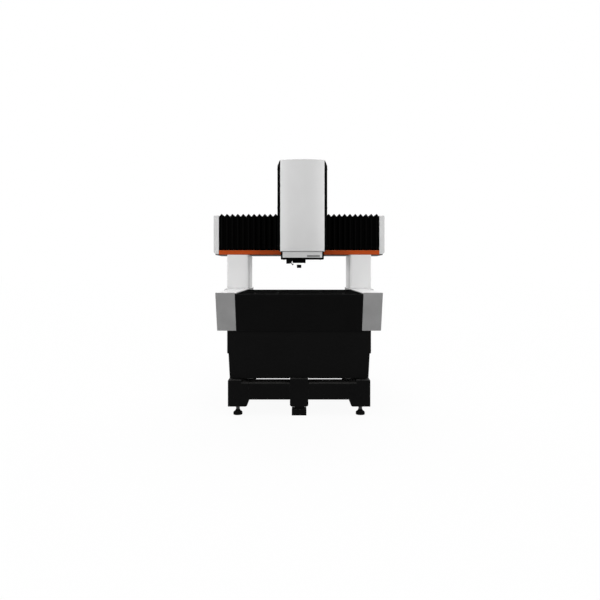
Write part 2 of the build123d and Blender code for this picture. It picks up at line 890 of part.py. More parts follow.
def bellows_section(x, inset):
    """The angle-shaped outline of the bellows at one fold."""
    front = bridge_front_y + inset
    top = bellows_top_z - inset
    points = [
        (front, bellows_bottom_z), (front, top), (bellows_rear_y, top),
        (bellows_rear_y, top - bellows_wall), (front + bellows_wall, top - bellows_wall),
        (front + bellows_wall, bellows_bottom_z),
    ]
    return Pos(x, 0, 0) * (Plane.YZ * make_face(Polyline(*points, close=True)))


def bellows(start, end):
    """A pleated cover over the front and top of the beam, between two places in X."""
    pleats = max(2, round((end - start) / bellows_pleat_pitch))
    step = (end - start) / (2 * pleats)
    sections = []
    for fold in range(2 * pleats + 1):
        inset = bellows_pleat_depth if fold % 2 == 0 else 0.0
        sections.append(bellows_section(start + fold * step, inset))
    return loft(sections, ruled=True)


def carriage_plate():
    """The plate that joins the bearing blocks of the beam to the head."""
    half = head_half_width - flange_thickness
    return box(
        (head_x - half, head_x + half), (carriage_front_y, carriage_rear_y),
        (carriage_bottom_z, beam_top_z),
    )


def carriage_cover():
    """The roof over the carriage, with a flange on each side where a bellows ends."""
    left, right = head_x - head_half_width, head_x + head_half_width
    roof_z = beam_top_z + carriage_roof_gap
    outline = [
        (panel_rear_y, carriage_bottom_z), (panel_rear_y, bellows_top_z),
        (bellows_rear_y, bellows_top_z), (bellows_rear_y, roof_z), (carriage_rear_y, roof_z),
        (carriage_rear_y, carriage_bottom_z),
    ]
    roof = box(
        (left, right), (carriage_front_y + panel_clearance, bellows_rear_y),
        (bellows_top_z - flange_thickness, bellows_top_z),
    )
    flanges = along_x(outline, (left, left + flange_thickness))
    flanges += along_x(outline, (right - flange_thickness, right))
    return flanges + roof


def z_backplate():
    """The upright plate that carries the Z rails, with a shallow rear pocket above the beam."""
    half = backplate_half_width
    plate = box(
        (head_x - half, head_x + half), (backplate_front_y, carriage_front_y),
        (carriage_bottom_z, backplate_top_z),
    )
    pocket_half = half - pocket_margin
    pocket = box(
        (head_x - pocket_half, head_x + pocket_half),
        (carriage_front_y - pocket_depth, carriage_front_y),
        (bellows_top_z + pocket_margin, backplate_top_z - pocket_margin),
    )
    return plate - pocket


def z_rails():
    """Two upright rails on the back plate."""
    bottom = carriage_bottom_z + z_rail_end_gap
    length = backplate_top_z - z_rail_end_gap - bottom
    rails = []
    for side in (-z_rail_half_gap, z_rail_half_gap):
        origin = (head_x + side, backplate_front_y, bottom)
        rails.append(on_face(origin, (0, -1, 0), (0, 0, 1)) * rail(length))
    return rails


def z_blocks():
    """Four bearing blocks between the Z rails and the Z slide."""
    blocks = []
    low = shroud_bottom_z + z_block_low
    for z in (low, low + z_block_span):
        for side in (-z_rail_half_gap, z_rail_half_gap):
            origin = (head_x + side, backplate_front_y, z)
            blocks.append(on_face(origin, (0, -1, 0), (0, 0, 1)) * bearing_block())
    return blocks


def z_magnet_track():
    """The magnet track between the Z rails."""
    half = track_width / 2
    return box(
        (head_x - half, head_x + half), (backplate_front_y - magnet_thickness, backplate_front_y),
        (carriage_bottom_z + z_track_end_gap, backplate_top_z - z_track_end_gap),
    )


def z_motor_coil():
    """The coil block behind the Z slide."""
    half = track_width / 2 - coil_inset
    low = shroud_bottom_z + z_block_low
    return box(
        (head_x - half, head_x + half),
        (slide_rear_y, backplate_front_y - magnet_thickness - air_gap),
        (low - z_coil_overhang, low + z_block_span + z_coil_overhang),
    )


def counterbalance_cylinder():
    """The upright cylinder that balances the head, between its two end blocks."""
    low = cylinder_bottom_z
    high = low + cylinder_length
    half = cylinder_block / 2
    x = (cylinder_x - half, cylinder_x + half)
    y = (cylinder_y - half, cylinder_y + half)
    body = rod(cylinder_x, cylinder_y, (low, high), cylinder_radius)
    for z in (low, high - cylinder_end):
        body += box(x, y, (z, z + cylinder_end))
    body -= rod(cylinder_x, cylinder_y, (low + cylinder_end, high - cylinder_end), cylinder_bore)
    return body - rod(
        cylinder_x, cylinder_y, (low, low + cylinder_end), rod_radius + piston_clearance
    )


def counterbalance_rod():
    """The piston and its rod, which stands on the lug of the Z slide."""
    top = lug_top_z + rod_length
    shaft = rod(cylinder_x, cylinder_y, (lug_top_z, top), rod_radius)
    return shaft + rod(
        cylinder_x, cylinder_y, (top, top + piston_height), cylinder_bore - piston_clearance
    )


def z_slide():
    """The Z slide: a plate with two tube clamps and a lug for the counterbalance."""
    right = head_x + z_slide_half_width
    y = (slide_front_y, slide_rear_y)
    slide = box(
        (head_x - z_slide_half_width, right), y,
        (shroud_bottom_z, shroud_bottom_z + z_slide_height),
    )
    for z in (objective_top_z + clamp_inset, tube_top_z - clamp_inset):
        heights = (z, z + clamp_height)
        clamp = box(
            (optical_x - clamp_half_width, optical_x + clamp_half_width),
            (optical_y, slide_front_y), heights,
        )
        clamp += rod(optical_x, optical_y, heights, clamp_half_width)
        slide += clamp - rod(optical_x, optical_y, heights, tube_radius)
    far = cylinder_x + cylinder_block / 2
    near = head_x + z_rail_half_gap + block_width / 2 + lug_clearance
    z = (lug_top_z - lug_thickness, lug_top_z)
    slide += box((right, far), y, z)
    return slide + box((near, far), (slide_front_y, backplate_front_y - lug_clearance), z)


def arc_y(radius, x):
    """Depth of a curve round the head's front, at a distance x from its middle."""
    return curve_centre_y - sqrt(radius * radius - x * x)


def curved_plan(radius, half_width, rear, z):
    """A block with a round front, straight sides and a flat back."""
    edge = arc_y(radius, half_width)
    left, right = head_x - half_width, head_x + half_width
    front = ThreePointArc((left, edge), (head_x, curve_centre_y - radius), (right, edge))
    back = Polyline((right, edge), (right, rear), (left, rear), (left, edge))
    return Pos(0, 0, z[0]) * extrude(make_face([front, back]), z[1] - z[0])


def head_cover():
    """The light cover: a shell with a gently round front, closed at the top."""
    rear = arc_y(head_curve_radius, cover_half_width) + cover_return
    outer = curved_plan(head_curve_radius, cover_half_width, rear, (head_bottom_z, head_top_z))
    top_front = outer.faces().sort_by(Axis.Z)[-1].edges().sort_by(Axis.Y)[0]
    outer = fillet(top_front, cover_edge_round)
    inner = curved_plan(
        head_curve_radius - cover_wall, cover_half_width - cover_wall, rear,
        (head_bottom_z, head_top_z - cover_wall),
    )
    return outer - inner


def head_side_panels():
    """Two dark side panels, hollow inside, cut at their upper and lower outer corners."""
    top_x, top_z = panel_top_cut
    low_x, low_z = panel_bottom_cut
    outline = [
        (cover_half_width, head_bottom_z), (head_half_width - low_x, head_bottom_z),
        (head_half_width, head_bottom_z + low_z), (head_half_width, head_top_z - top_z),
        (head_half_width - top_x, head_top_z), (cover_half_width, head_top_z),
    ]
    panel = along_y(outline, (panel_front_y, hood_rear_y))
    panel -= box(
        (cover_half_width - cut_margin, head_half_width + cut_margin), (panel_rear_y, hood_rear_y),
        (head_bottom_z, bellows_top_z + hood_gap),
    )
    panel -= box(
        (cover_half_width - cut_margin, head_half_width - panel_wall),
        (panel_front_y + panel_wall, hood_rear_y),
        (head_bottom_z + low_z, head_top_z - top_z - panel_wall),
    )
    left = mirror(panel, about=Plane.YZ)
    return [Pos(head_x, 0, 0) * panel, Pos(head_x, 0, 0) * left]


def head_hood():
    """The roof and back of the head above the beam, folded from one sheet."""
    half = cover_half_width
    start = arc_y(head_curve_radius, cover_half_width) + cover_return
    back_y = (hood_rear_y, hood_rear_y + panel_wall)
    shoulder_z = head_top_z - panel_top_cut[1]
    roof = box(
        (head_x - half, head_x + half), (start, hood_rear_y), (head_top_z - panel_wall, head_top_z)
    )
    back = box(
        (head_x - head_half_width, head_x + head_half_width), back_y,
        (bellows_top_z + hood_gap, shoulder_z),
    )
    return roof + back + box((head_x - half, head_x + half), back_y, (shoulder_z, head_top_z))


def shroud():
    """The dark lower shell of the head, open at the top and rear, with a floor."""
    radius = head_curve_radius - cover_wall - 2 * shroud_clearance
    shell = curved_plan(radius, shroud_half_width, slide_front_y, (shroud_bottom_z, shroud_top_z))
    inner = curved_plan(
        radius - shroud_wall, shroud_half_width - shroud_wall, slide_front_y,
        (floor_top_z, shroud_top_z),
    )
    hole = rod(optical_x, optical_y, (shroud_bottom_z, floor_top_z), objective_radius + rail_gap)
    return shell - inner - hole


def shroud_face():
    """The light face on the front of the shroud."""
    outer = head_curve_radius - cover_wall - shroud_clearance
    inner = outer - shroud_clearance
    z = (floor_top_z, shroud_top_z)
    rear = arc_y(inner, face_half_width) + shroud_clearance
    plate = curved_plan(outer, face_half_width, rear, z)
    return plate - curved_plan(inner, shroud_half_width, rear + face_margin, z)


def ring_light():
    """The round black lamp body under the shroud, with an eased lower edge."""
    ease = 0.3 * ring_round
    profile = [
        (ring_bore, ring_bottom_z), (ring_radius - ring_round, ring_bottom_z),
        (ring_radius - ease, ring_bottom_z + ease), (ring_radius, ring_bottom_z + ring_round),
        (ring_radius, shroud_bottom_z), (ring_bore, shroud_bottom_z),
    ]
    return turned(profile, optical_x, optical_y)


def light_cone():
    """The white cone that throws the ring's light onto the work."""
    foot = ring_bottom_z - cone_height
    profile = [
        (cone_top_radius - cone_rim, ring_bottom_z), (cone_top_radius, ring_bottom_z),
        (cone_foot_radius, foot), (cone_foot_radius - cone_wall, foot),
    ]
    return turned(profile, optical_x, optical_y)


def objective():
    """The objective: a flange on the shroud's floor, a barrel and a slimmer tip."""
    tip = objective_tip_z
    step = tip + objective_tip_length
    edge = objective_edge
    profile = [
        (objective_bore, tip), (objective_tip_radius - edge, tip), (objective_tip_radius, tip + edge),
        (objective_tip_radius, step), (objective_radius, step + edge),
        (objective_radius, floor_top_z), (objective_flange_radius, floor_top_z),
        (objective_flange_radius, objective_top_z), (objective_bore, objective_top_z),
    ]
    return turned(profile, optical_x, optical_y)


def objective_lens():
    """The front lens, set back in the tip, with a bevelled rim."""
    low = objective_tip_z + lens_recess
    high = low + lens_thickness
    radius = objective_bore - fit_clearance
    profile = [(0, low), (radius - lens_bevel, low), (radius, low + lens_bevel), (radius, high), (0, high)]
    return turned(profile, optical_x, optical_y)


def optical_tube():
    """The tube between the objective and the camera."""
    z = (objective_top_z, tube_top_z)
    return rod(optical_x, optical_y, z, tube_radius - fit_clearance) - rod(
        optical_x, optical_y, z, tube_bore
    )


def square_block(half, z):
    """A block with a square plan round the optical axis."""
    return box((optical_x - half, optical_x + half), (optical_y - half, optical_y + half), z)


def camera():
    """The camera on top of the optical tube, with cooling fins cut in its sides."""
    body = square_block(camera_half_width, (tube_top_z, tube_top_z + camera_height))
    for fin in range(fin_count):
        low = tube_top_z + fin_start + fin * fin_pitch
        z = (low, low + fin_gap)
        body -= square_block(camera_half_width, z) - square_block(camera_half_width - fin_depth, z)
    return body


def stylus_place():
    """The middle of the stylus seat, under the block's chamfer, with Z along the stylus."""
    corner = probe_chamfer / 2
    depth = stylus_pivot_depth / sqrt(2)
    x = probe_right_x - corner - depth
    z = shroud_bottom_z - probe_block_size[2] + corner + depth
    return Pos(x, probe_y, z) * Rot(0, 135, 0)


def probe_block():
    """The touch probe's body, with a chamfered corner and a socket for the stylus."""
    wide, deep, tall = probe_block_size
    block = box(
        (probe_right_x - wide, probe_right_x), (probe_y - deep / 2, probe_y + deep / 2),
        (shroud_bottom_z - tall, shroud_bottom_z),
    )
    corner = block.edges().filter_by(Axis.Y).group_by(Axis.Z)[0].sort_by(Axis.X)[-1]
    block = chamfer(corner, probe_chamfer)
    socket = rod(
        0, 0, (-stylus_socket_depth, probe_chamfer), stylus_seat_radius + stylus_socket_gap
    )
    return block - stylus_place() * socket


def stylus():
    """A stylus with a round seat at one end and a measuring ball at the other."""
    half = stylus_seat_thickness / 2
    pin = rod(0, 0, (-half, half), stylus_seat_radius)
    pin += rod(0, 0, (half, stylus_reach), stylus_stem_radius)
    return stylus_place() * (pin + Pos(0, 0, stylus_reach) * Sphere(stylus_tip_radius))


def main():
    os.makedirs("parts", exist_ok=True)
    save("foot_pads", *foot_pads())
    save("foot_studs", *foot_studs())
    save("centre_feet", *centre_feet())
    save("stand_legs", *stand_legs())
    save("stand_rails", *stand_rails())
    save("isolators", *isolators())
    save("machine_bed", machine_bed())
    save("stone_table", stone_table())
    save("table_inserts", *table_inserts())
    save("front_apron", front_apron())
    save("front_panel", front_panel())
    save("rear_panel", rear_panel())
    save("side_skirts", *side_skirts())
    save("guide_beams", *guide_beams())
    save("guide_strips", *guide_strips())
    save("y_rails", *y_rails())
    save("y_magnet_track", y_magnet_track())
    save("y_scale", y_scale())

    save("columns", *columns())
    save("bearing_arms", *bearing_arms())
    save("y_bearing_blocks", *y_blocks())
    save("drive_covers", *drive_covers())
    save("y_motor_coil", y_motor_coil())
    save("y_read_head", y_read_head())
    save("beam", beam())
    save("x_rails", *x_rails())
    save("x_magnet_track", x_magnet_track())
    save("x_scale", x_scale())
    save("beam_valance", beam_valance())
    save("beam_stripe", beam_stripe())
    save("beam_end_caps", *beam_end_caps())
    save("beam_rear_cover", beam_rear_cover())
    save("left_bellows", bellows(-beam_half_length, head_x - head_half_width))
    save("right_bellows", bellows(head_x + head_half_width, beam_half_length))

    save("carriage_plate", carriage_plate())
    save("x_bearing_blocks", *x_blocks())
    save("x_motor_coil", x_motor_coil())
    save("x_read_head", x_read_head())
    save("carriage_cover", carriage_cover())
    save("z_backplate", z_backplate())
    save("z_rails", *z_rails())
    save("z_magnet_track", z_magnet_track())
    save("counterbalance_cylinder", counterbalance_cylinder())
    save("head_cover", head_cover())
    save("head_side_panels", *head_side_panels())
    save("head_hood", head_hood())

    save("z_slide", z_slide())
    save("z_bearing_blocks", *z_blocks())
    save("z_motor_coil", z_motor_coil())
    save("counterbalance_rod", counterbalance_rod())
    save("shroud", shroud())
    save("shroud_face", shroud_face())
    save("ring_light", ring_light())
    save("light_cone", light_cone())
    save("objective", objective())
    save("objective_lens", objective_lens())
    save("optical_tube", optical_tube())
    save("camera", camera())
    save("probe_block", probe_block())
    save("stylus", stylus())


main()
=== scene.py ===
# %% [markdown]
# # A moving-bridge measuring machine
# The machine stands on a black stand. A stone table lies between two grey guide beams. A bridge
# on two columns runs along them and carries a pleated cross beam with a tall light head.
# The CAD model gives every piece its size and place. This lesson gives every piece its finish, eases its
# edges and adds what is too small for the CAD: screws, caps, threads, lamps, a thin black strip and thin dark
# sheets that paint the shade under the cover's edge and under the beam, and lips. Lengths are in metres. X
# runs across the machine, y to its rear, and z up.

# %% Load the fixed frame
import json
from math import cos, pi, radians, sin

import bmesh
import bpy
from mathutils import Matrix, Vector
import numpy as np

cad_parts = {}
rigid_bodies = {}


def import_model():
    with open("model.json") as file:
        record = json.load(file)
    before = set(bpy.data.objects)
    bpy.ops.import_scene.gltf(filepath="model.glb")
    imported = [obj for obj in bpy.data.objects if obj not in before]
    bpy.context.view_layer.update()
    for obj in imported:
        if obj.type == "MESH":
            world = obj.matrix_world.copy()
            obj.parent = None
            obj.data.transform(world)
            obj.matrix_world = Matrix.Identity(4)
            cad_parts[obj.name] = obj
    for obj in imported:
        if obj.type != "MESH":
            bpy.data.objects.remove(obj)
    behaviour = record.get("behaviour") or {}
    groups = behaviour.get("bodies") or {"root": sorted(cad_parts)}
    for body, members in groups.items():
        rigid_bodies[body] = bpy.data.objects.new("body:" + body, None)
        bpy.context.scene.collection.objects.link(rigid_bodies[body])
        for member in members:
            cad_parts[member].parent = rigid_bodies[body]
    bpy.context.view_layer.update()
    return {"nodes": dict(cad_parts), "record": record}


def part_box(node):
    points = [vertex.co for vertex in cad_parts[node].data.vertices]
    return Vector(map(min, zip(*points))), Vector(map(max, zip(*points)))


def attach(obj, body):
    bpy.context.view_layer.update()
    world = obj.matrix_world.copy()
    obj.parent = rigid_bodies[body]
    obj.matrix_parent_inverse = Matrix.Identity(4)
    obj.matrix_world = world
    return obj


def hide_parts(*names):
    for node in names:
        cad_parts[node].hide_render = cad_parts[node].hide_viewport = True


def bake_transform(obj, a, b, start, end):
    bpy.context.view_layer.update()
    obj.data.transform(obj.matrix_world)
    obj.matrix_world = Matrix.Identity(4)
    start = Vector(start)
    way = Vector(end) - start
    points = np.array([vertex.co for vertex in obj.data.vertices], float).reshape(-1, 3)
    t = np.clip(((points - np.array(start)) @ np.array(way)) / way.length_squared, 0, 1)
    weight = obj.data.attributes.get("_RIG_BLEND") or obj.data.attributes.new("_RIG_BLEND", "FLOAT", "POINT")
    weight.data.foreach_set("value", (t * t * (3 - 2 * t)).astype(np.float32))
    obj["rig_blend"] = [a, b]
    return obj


for left_over in list(bpy.data.objects):
    bpy.data.objects.remove(left_over)
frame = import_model()
nodes = frame["nodes"]
bodies = frame["record"]["behaviour"]["bodies"]
body_of = {node: body for body, members in bodies.items() for node in members}

# %% [markdown]
# ## A short way to write nodes
# Shader trees and geometry trees are built the same way: add a node, set its options, and give each
# socket either a value or a link. One helper does all three, so that a tree reads from top to
# bottom like a list of steps.

# %% A helper for every node tree
def add(tree, kind, inputs=None, **options):
    """Add a node to a tree; an input is a plain value, or a socket that is linked to it."""
    made = tree.nodes.new(kind)
    for option, value in options.items():
        setattr(made, option, value)
    for socket, value in (inputs or {}).items():
        if isinstance(value, bpy.types.NodeSocket):
            tree.links.new(value, made.inputs[socket])
        else:
            made.inputs[socket].default_value = value
    return made


def reckon(tree, operation, *values):
    """One arithmetic step on numbers or sockets."""
    return add(tree, "ShaderNodeMath", dict(enumerate(values)), operation=operation).outputs[0]


# %% [markdown]
# ## A base for every finish
# No real surface is one flat colour. Each finish starts from the same three things: a colour that
# drifts slowly, a gloss that drifts too, and a fine relief. Edges that were eased carry an
# attribute named worn, so paint can thin out there. Patterns read Object coordinates, which are
# metres in the machine's own frame, so they keep their scale and stay put from every side.

# %% Helpers that open a finish and feed its shader
def new_finish(name, **sockets):
    """A material with one shader, whose even properties are set straight on its sockets."""
    material = bpy.data.materials.new(name)
    material.use_nodes = True
    shader = material.node_tree.nodes["Principled BSDF"]
    for socket, value in sockets.items():
        shader.inputs[socket.replace("_", " ").title().replace("Ior", "IOR")].default_value = value
    return material, material.node_tree, shader


def feed(tree, shader, colour, gloss):
    """Link a colour and a roughness to the shader."""
    tree.links.new(colour, shader.inputs["Base Color"])
    tree.links.new(gloss, shader.inputs["Roughness"])


def relief(tree, shader, height, depth, strength=0.5):
    """Fine relief of the surface; depth is in metres."""
    inputs = {"Height": height, "Distance": depth, "Strength": strength}
    tree.links.new(add(tree, "ShaderNodeBump", inputs).outputs[0], shader.inputs["Normal"])


# %% Helpers for colours and patterns
def grey(value, warm=0.0):
    """A neutral colour, a little warmer or cooler."""
    return (value * (1 + warm), value, value * (1 - warm), 1.0)


def toned(colour, share, lift=0.0):
    """A darker or paler tone of a colour."""
    return tuple(min(1.0, share * part + lift) for part in colour[:3]) + (1.0,)


def blend_colours(tree, factor, first, second):
    """A colour that goes from the first to the second with a factor."""
    inputs = {"Factor": factor, 6: first, 7: second}
    return add(tree, "ShaderNodeMix", inputs, data_type="RGBA").outputs[2]


def place(tree, scale=(1, 1, 1)):
    """Object coordinates, stretched where a pattern has a direction."""
    coordinates = add(tree, "ShaderNodeTexCoord").outputs["Object"]
    return add(tree, "ShaderNodeMapping", {"Vector": coordinates, "Scale": scale}).outputs[0]


def cloud(tree, where, scale, detail=2.0, roughness=0.5):
    """Soft noise between 0 and 1."""
    inputs = {"Vector": where, "Scale": scale, "Detail": detail, "Roughness": roughness}
    return add(tree, "ShaderNodeTexNoise", inputs).outputs["Fac"]


def between(tree, factor, low, high, start=0.0, end=1.0):
    """A number that goes from low to high as a factor goes from start to end."""
    inputs = {"Value": factor, "From Min": start, "From Max": end, "To Min": low, "To Max": high}
    return add(tree, "ShaderNodeMapRange", inputs).outputs["Result"]


def stretched(tree, noise, low=0.0, high=1.0):
    """The middle of a noise, where nearly all of it lies, stretched to go from low to high."""
    return between(tree, noise, low, high, 0.3, 0.7)


def worn_edge(tree, share):
    """Broken patches along the eased edges, up to a share."""
    edge = add(tree, "ShaderNodeAttribute", attribute_name="worn").outputs["Fac"]
    patches = between(tree, cloud(tree, place(tree), 60, 4), 0.0, share, 0.42, 0.62)
    return reckon(tree, "MULTIPLY", edge, patches)


# %% [markdown]
# ## Paints
# Most of the machine is painted or powder coated. Powder flows out into a fine orange peel, so the relief is
# a soft noise about a millimetre wide. The black coat is nearly without sheen, which is why the lower half of
# the machine reads as one dark mass, and it greys a little where hands and tools have rubbed its edges. On
# the stand, faces that look up are paler: settled dust and painted light from above.

# %% Paint finishes
def dust_and_painted_top_light(tree, share):
    """Dust and painted light from above on faces that look up, thicker in some places."""
    normal = add(tree, "ShaderNodeTexCoord").outputs["Normal"]
    up = between(tree, add(tree, "ShaderNodeSeparateXYZ", {0: normal}).outputs[2], 0, share, 0.7, 0.98)
    return reckon(tree, "MULTIPLY", up, stretched(tree, cloud(tree, place(tree), 22, 5), 0.6, 1.0))


def paint(name, colour, bare, roughness, specular, depth=0.00012, wear=0.5, paler_share=0.0):
    """A sprayed coat: slow drift of colour and gloss, orange peel, rubbed edges, and on faces that look up
    some dust with painted light from above.
    """
    material, tree, shader = new_finish(name, specular_ior_level=specular)
    where = place(tree)
    darker = toned(colour, 0.97 if colour[0] > 0.3 else 0.86)
    coat = blend_colours(tree, stretched(tree, cloud(tree, where, 5, 3)), darker, colour)
    if paler_share:
        # Faces that look up go paler here: settled dust and painted light from above.
        coat = blend_colours(tree, dust_and_painted_top_light(tree, paler_share), coat, grey(0.045, 0.02))
    rubbed = blend_colours(tree, worn_edge(tree, wear), coat, bare)
    gloss = stretched(tree, cloud(tree, where, 45, 4), 0.95 * roughness, 1.08 * roughness)
    feed(tree, shader, rubbed, gloss)
    relief(tree, shader, cloud(tree, where, 900, 2), depth, 0.4)
    return material


black_paint = paint("black_paint", grey(0.0022), grey(0.012), 0.7, 0.03)
black_trim = paint("black_trim", grey(0.0026), grey(0.014), 0.66, 0.03)
# The stand's faces that look up are paler: settled dust and painted light from above.
stand_paint = paint("stand_paint", grey(0.0026), grey(0.013), 0.7, 0.03, paler_share=0.9)
light_paint = paint("light_paint", grey(0.61), grey(0.56), 0.33, 0.5, depth=0.00003, wear=0.3)
white_paint = paint("white_paint", grey(0.93), grey(0.78), 0.35, 0.4, wear=0.3)
orange_paint = paint("orange_paint", (0.36, 0.050, 0.005, 1), (0.45, 0.14, 0.05, 1), 0.45, 0.1, wear=0.4)
print("Paints:", [m.name for m in bpy.data.materials if "paint" in m.name])

# %% [markdown]
# ## Mineral casting and stone
# The guide beams and the bed are cast from crushed stone in resin, which damps vibration better
# than iron. Under their paint the grain of the casting still shows as a slight pebbling. The table
# is lapped black stone with pale and dark crystals, made from two sizes of cells.

# %% Casting and stone finishes
def cells(tree, where, scale, **options):
    """A pattern of cells, each with a colour of its own and the distance to its middle."""
    return add(tree, "ShaderNodeTexVoronoi", {"Vector": where, "Scale": scale}, **options).outputs


def crystals(tree, where, scale, start, end):
    """The cells of one size whose own shade is past a start."""
    shade = add(tree, "ShaderNodeSeparateColor", {0: cells(tree, where, scale)["Color"]}).outputs[0]
    return between(tree, shade, 0, 1, start, end)


def cast_mineral(name, colour, roughness, specular):
    """Paint over a cast surface: pebbled relief, small pores and a cloudy colour."""
    material, tree, shader = new_finish(name, specular_ior_level=specular)
    where = place(tree)
    coat = blend_colours(tree, stretched(tree, cloud(tree, where, 9, 4)), toned(colour, 0.88), colour)
    pores = between(tree, cloud(tree, where, 420, 1), 0, 0.5, 0.68, 0.74)
    pitted = blend_colours(tree, pores, coat, toned(colour, 0.6))
    rubbed = blend_colours(tree, worn_edge(tree, 0.5), pitted, toned(colour, 1.3))
    gloss = stretched(tree, cloud(tree, where, 30, 3), roughness - 0.08, roughness + 0.08)
    feed(tree, shader, rubbed, gloss)
    relief(tree, shader, cells(tree, where, 260.0)["Distance"], 0.0004, 0.25)
    return material


def lapped_stone(name):
    """Black stone with two sizes of crystals under a fine lapped surface."""
    material, tree, shader = new_finish(name, specular_ior_level=0.0)
    where = place(tree)
    body = blend_colours(tree, crystals(tree, where, 320.0, 0.72, 0.95), grey(0.0022), grey(0.0075))
    speckled = blend_colours(tree, crystals(tree, where, 900.0, 0.86, 0.98), body, grey(0.035))
    feed(tree, shader, speckled, stretched(tree, cloud(tree, where, 14, 5), 0.72, 0.88))
    relief(tree, shader, cloud(tree, where, 1500, 2), 0.00004, 0.3)
    return material


grey_mineral = cast_mineral("grey_mineral", grey(0.194), 0.5, 0.3)
black_mineral = cast_mineral("black_mineral", grey(0.0026), 0.7, 0.03)
dark_stone = lapped_stone("dark_stone")
print("Castings and stone:", grey_mineral.name, black_mineral.name, dark_stone.name)

# %% [markdown]
# ## Mouldings, rubber and cloth
# The head's cover and the beam's end caps are moulded with a fine leather-like grain. The isolators
# under the bed are hard rubber with a trace of dust. The bellows are a coated cloth: its weave follows
# the cloth and not the machine, so that finish reads the bellows' own map, and its folds are rubbed
# paler.

# %% Moulding, rubber and cloth finishes
def moulding(name, colour, roughness, specular, grain=1100):
    """A moulded part: fine cells of grain with a slow drift of colour."""
    material, tree, shader = new_finish(name, specular_ior_level=specular)
    where = place(tree)
    body = blend_colours(tree, stretched(tree, cloud(tree, where, 4, 3)), toned(colour, 0.95), colour)
    rubbed = blend_colours(tree, worn_edge(tree, 0.7), body, toned(colour, 1.08, 0.002))
    gloss = stretched(tree, cloud(tree, where, 25, 3), 0.93 * roughness, 1.1 * roughness)
    feed(tree, shader, rubbed, gloss)
    relief(tree, shader, cells(tree, where, grain, feature="SMOOTH_F1")["Distance"], 0.00018, 0.3)
    return material


def hard_rubber(name):
    """Black rubber with a little grey dust in its pores."""
    material, tree, shader = new_finish(name, specular_ior_level=0.05)
    where = place(tree)
    paler_share = between(tree, cloud(tree, where, 70, 6, 0.65), 0, 0.7, 0.5, 0.8)
    dusty = blend_colours(tree, paler_share, grey(0.0012), grey(0.006))
    feed(tree, shader, dusty, stretched(tree, cloud(tree, where, 20, 3), 0.6, 0.8))
    relief(tree, shader, cloud(tree, where, 700, 3), 0.0002, 0.5)
    return material


def coated_cloth(name, threads=260):
    """Coated cloth: a plain weave on the cloth's own map, paler along the folds."""
    material, tree, shader = new_finish(name, specular_ior_level=0.01)
    cloth_map = add(tree, "ShaderNodeUVMap", uv_map="cloth").outputs[0]
    ways = add(tree, "ShaderNodeSeparateXYZ", {0: cloth_map}).outputs
    warp, weft = (
        reckon(tree, "SINE", reckon(tree, "MULTIPLY", ways[i], threads * 2 * pi)) for i in (0, 1)
    )
    weave = reckon(tree, "MULTIPLY", warp, weft)
    fold = add(tree, "ShaderNodeAttribute", attribute_name="fold").outputs["Fac"]
    crest = between(tree, fold, 0, 1, 0.7, 1.0)
    rubbed = reckon(tree, "MULTIPLY", crest, cloud(tree, place(tree), 90, 4))
    tint = blend_colours(tree, rubbed, grey(0.0006), grey(0.003))
    feed(tree, shader, tint, between(tree, weave, 0.5, 0.65, -1, 1))
    relief(tree, shader, weave, 0.00015, 0.4)
    return material


light_plastic = moulding("light_plastic", grey(0.505), 0.35, 0.4)
cap_plastic = moulding("cap_plastic", grey(0.52), 0.45, 0.35)
face_plastic = moulding("face_plastic", grey(0.47), 0.45, 0.35)
black_plastic = moulding("black_plastic", grey(0.002), 0.65, 0.006)
coil_resin = moulding("coil_resin", (0.02, 0.02, 0.026, 1), 0.4, 0.2)
black_ceramic = moulding("black_ceramic", grey(0.003), 0.2, 0.08, 3000)
foot_rubber = hard_rubber("foot_rubber")
bellows_cloth = coated_cloth("bellows_cloth")
print("Mouldings, rubber and cloth:", light_plastic.name, foot_rubber.name, bellows_cloth.name)

# %% [markdown]
# ## Metals
# Rails are ground steel: the grinding marks run along them, so their noise is stretched along one
# axis. Bearing blocks, screws and milled plates use the same recipe, with another shade and marks of
# their own. The probe and the lens mount are black anodised, and their edges are rubbed to grey.

# %% Metal finishes
def ground_metal(name, colour, roughness, along=(1, 1, 1), metallic=1.0):
    """Bare metal with grinding marks along one axis."""
    material, tree, shader = new_finish(name, metallic=metallic)
    streaks = cloud(tree, place(tree, along), 900, 3)
    tint = blend_colours(tree, stretched(tree, streaks), toned(colour, 0.82), colour)
    feed(tree, shader, tint, stretched(tree, streaks, roughness - 0.08, roughness + 0.1))
    relief(tree, shader, streaks, 0.00003, 0.35)
    return material


def anodised(name):
    """Black anodised aluminium with fine turning marks."""
    material, tree, shader = new_finish(name, specular_ior_level=0.03)
    marks = cloud(tree, place(tree, (1, 1, 12)), 260, 3)
    tint = blend_colours(tree, stretched(tree, marks), grey(0.0016), grey(0.003))
    rubbed = blend_colours(tree, worn_edge(tree, 0.6), tint, grey(0.05))
    feed(tree, shader, rubbed, stretched(tree, marks, 0.4, 0.55))
    relief(tree, shader, marks, 0.00004, 0.3)
    return material


rail_steel_x = ground_metal("rail_steel_x", grey(0.55), 0.3, (0.02, 1, 1))
rail_steel_y = ground_metal("rail_steel_y", grey(0.55), 0.3, (1, 0.02, 1))
rail_steel_z = ground_metal("rail_steel_z", grey(0.55), 0.3, (1, 1, 0.02))
block_steel = ground_metal("block_steel", grey(0.42), 0.38)
zinc_steel = ground_metal("zinc_steel", grey(0.5, 0.02), 0.4)
blackened_steel = ground_metal("blackened_steel", grey(0.03), 0.45, metallic=0.6)
milled_aluminium = ground_metal("milled_aluminium", grey(0.58), 0.4, (1, 1, 0.1))
black_anodised = anodised("black_anodised")
print("Metals:", [m.name for m in bpy.data.materials if "steel" in m.name], milled_aluminium.name)
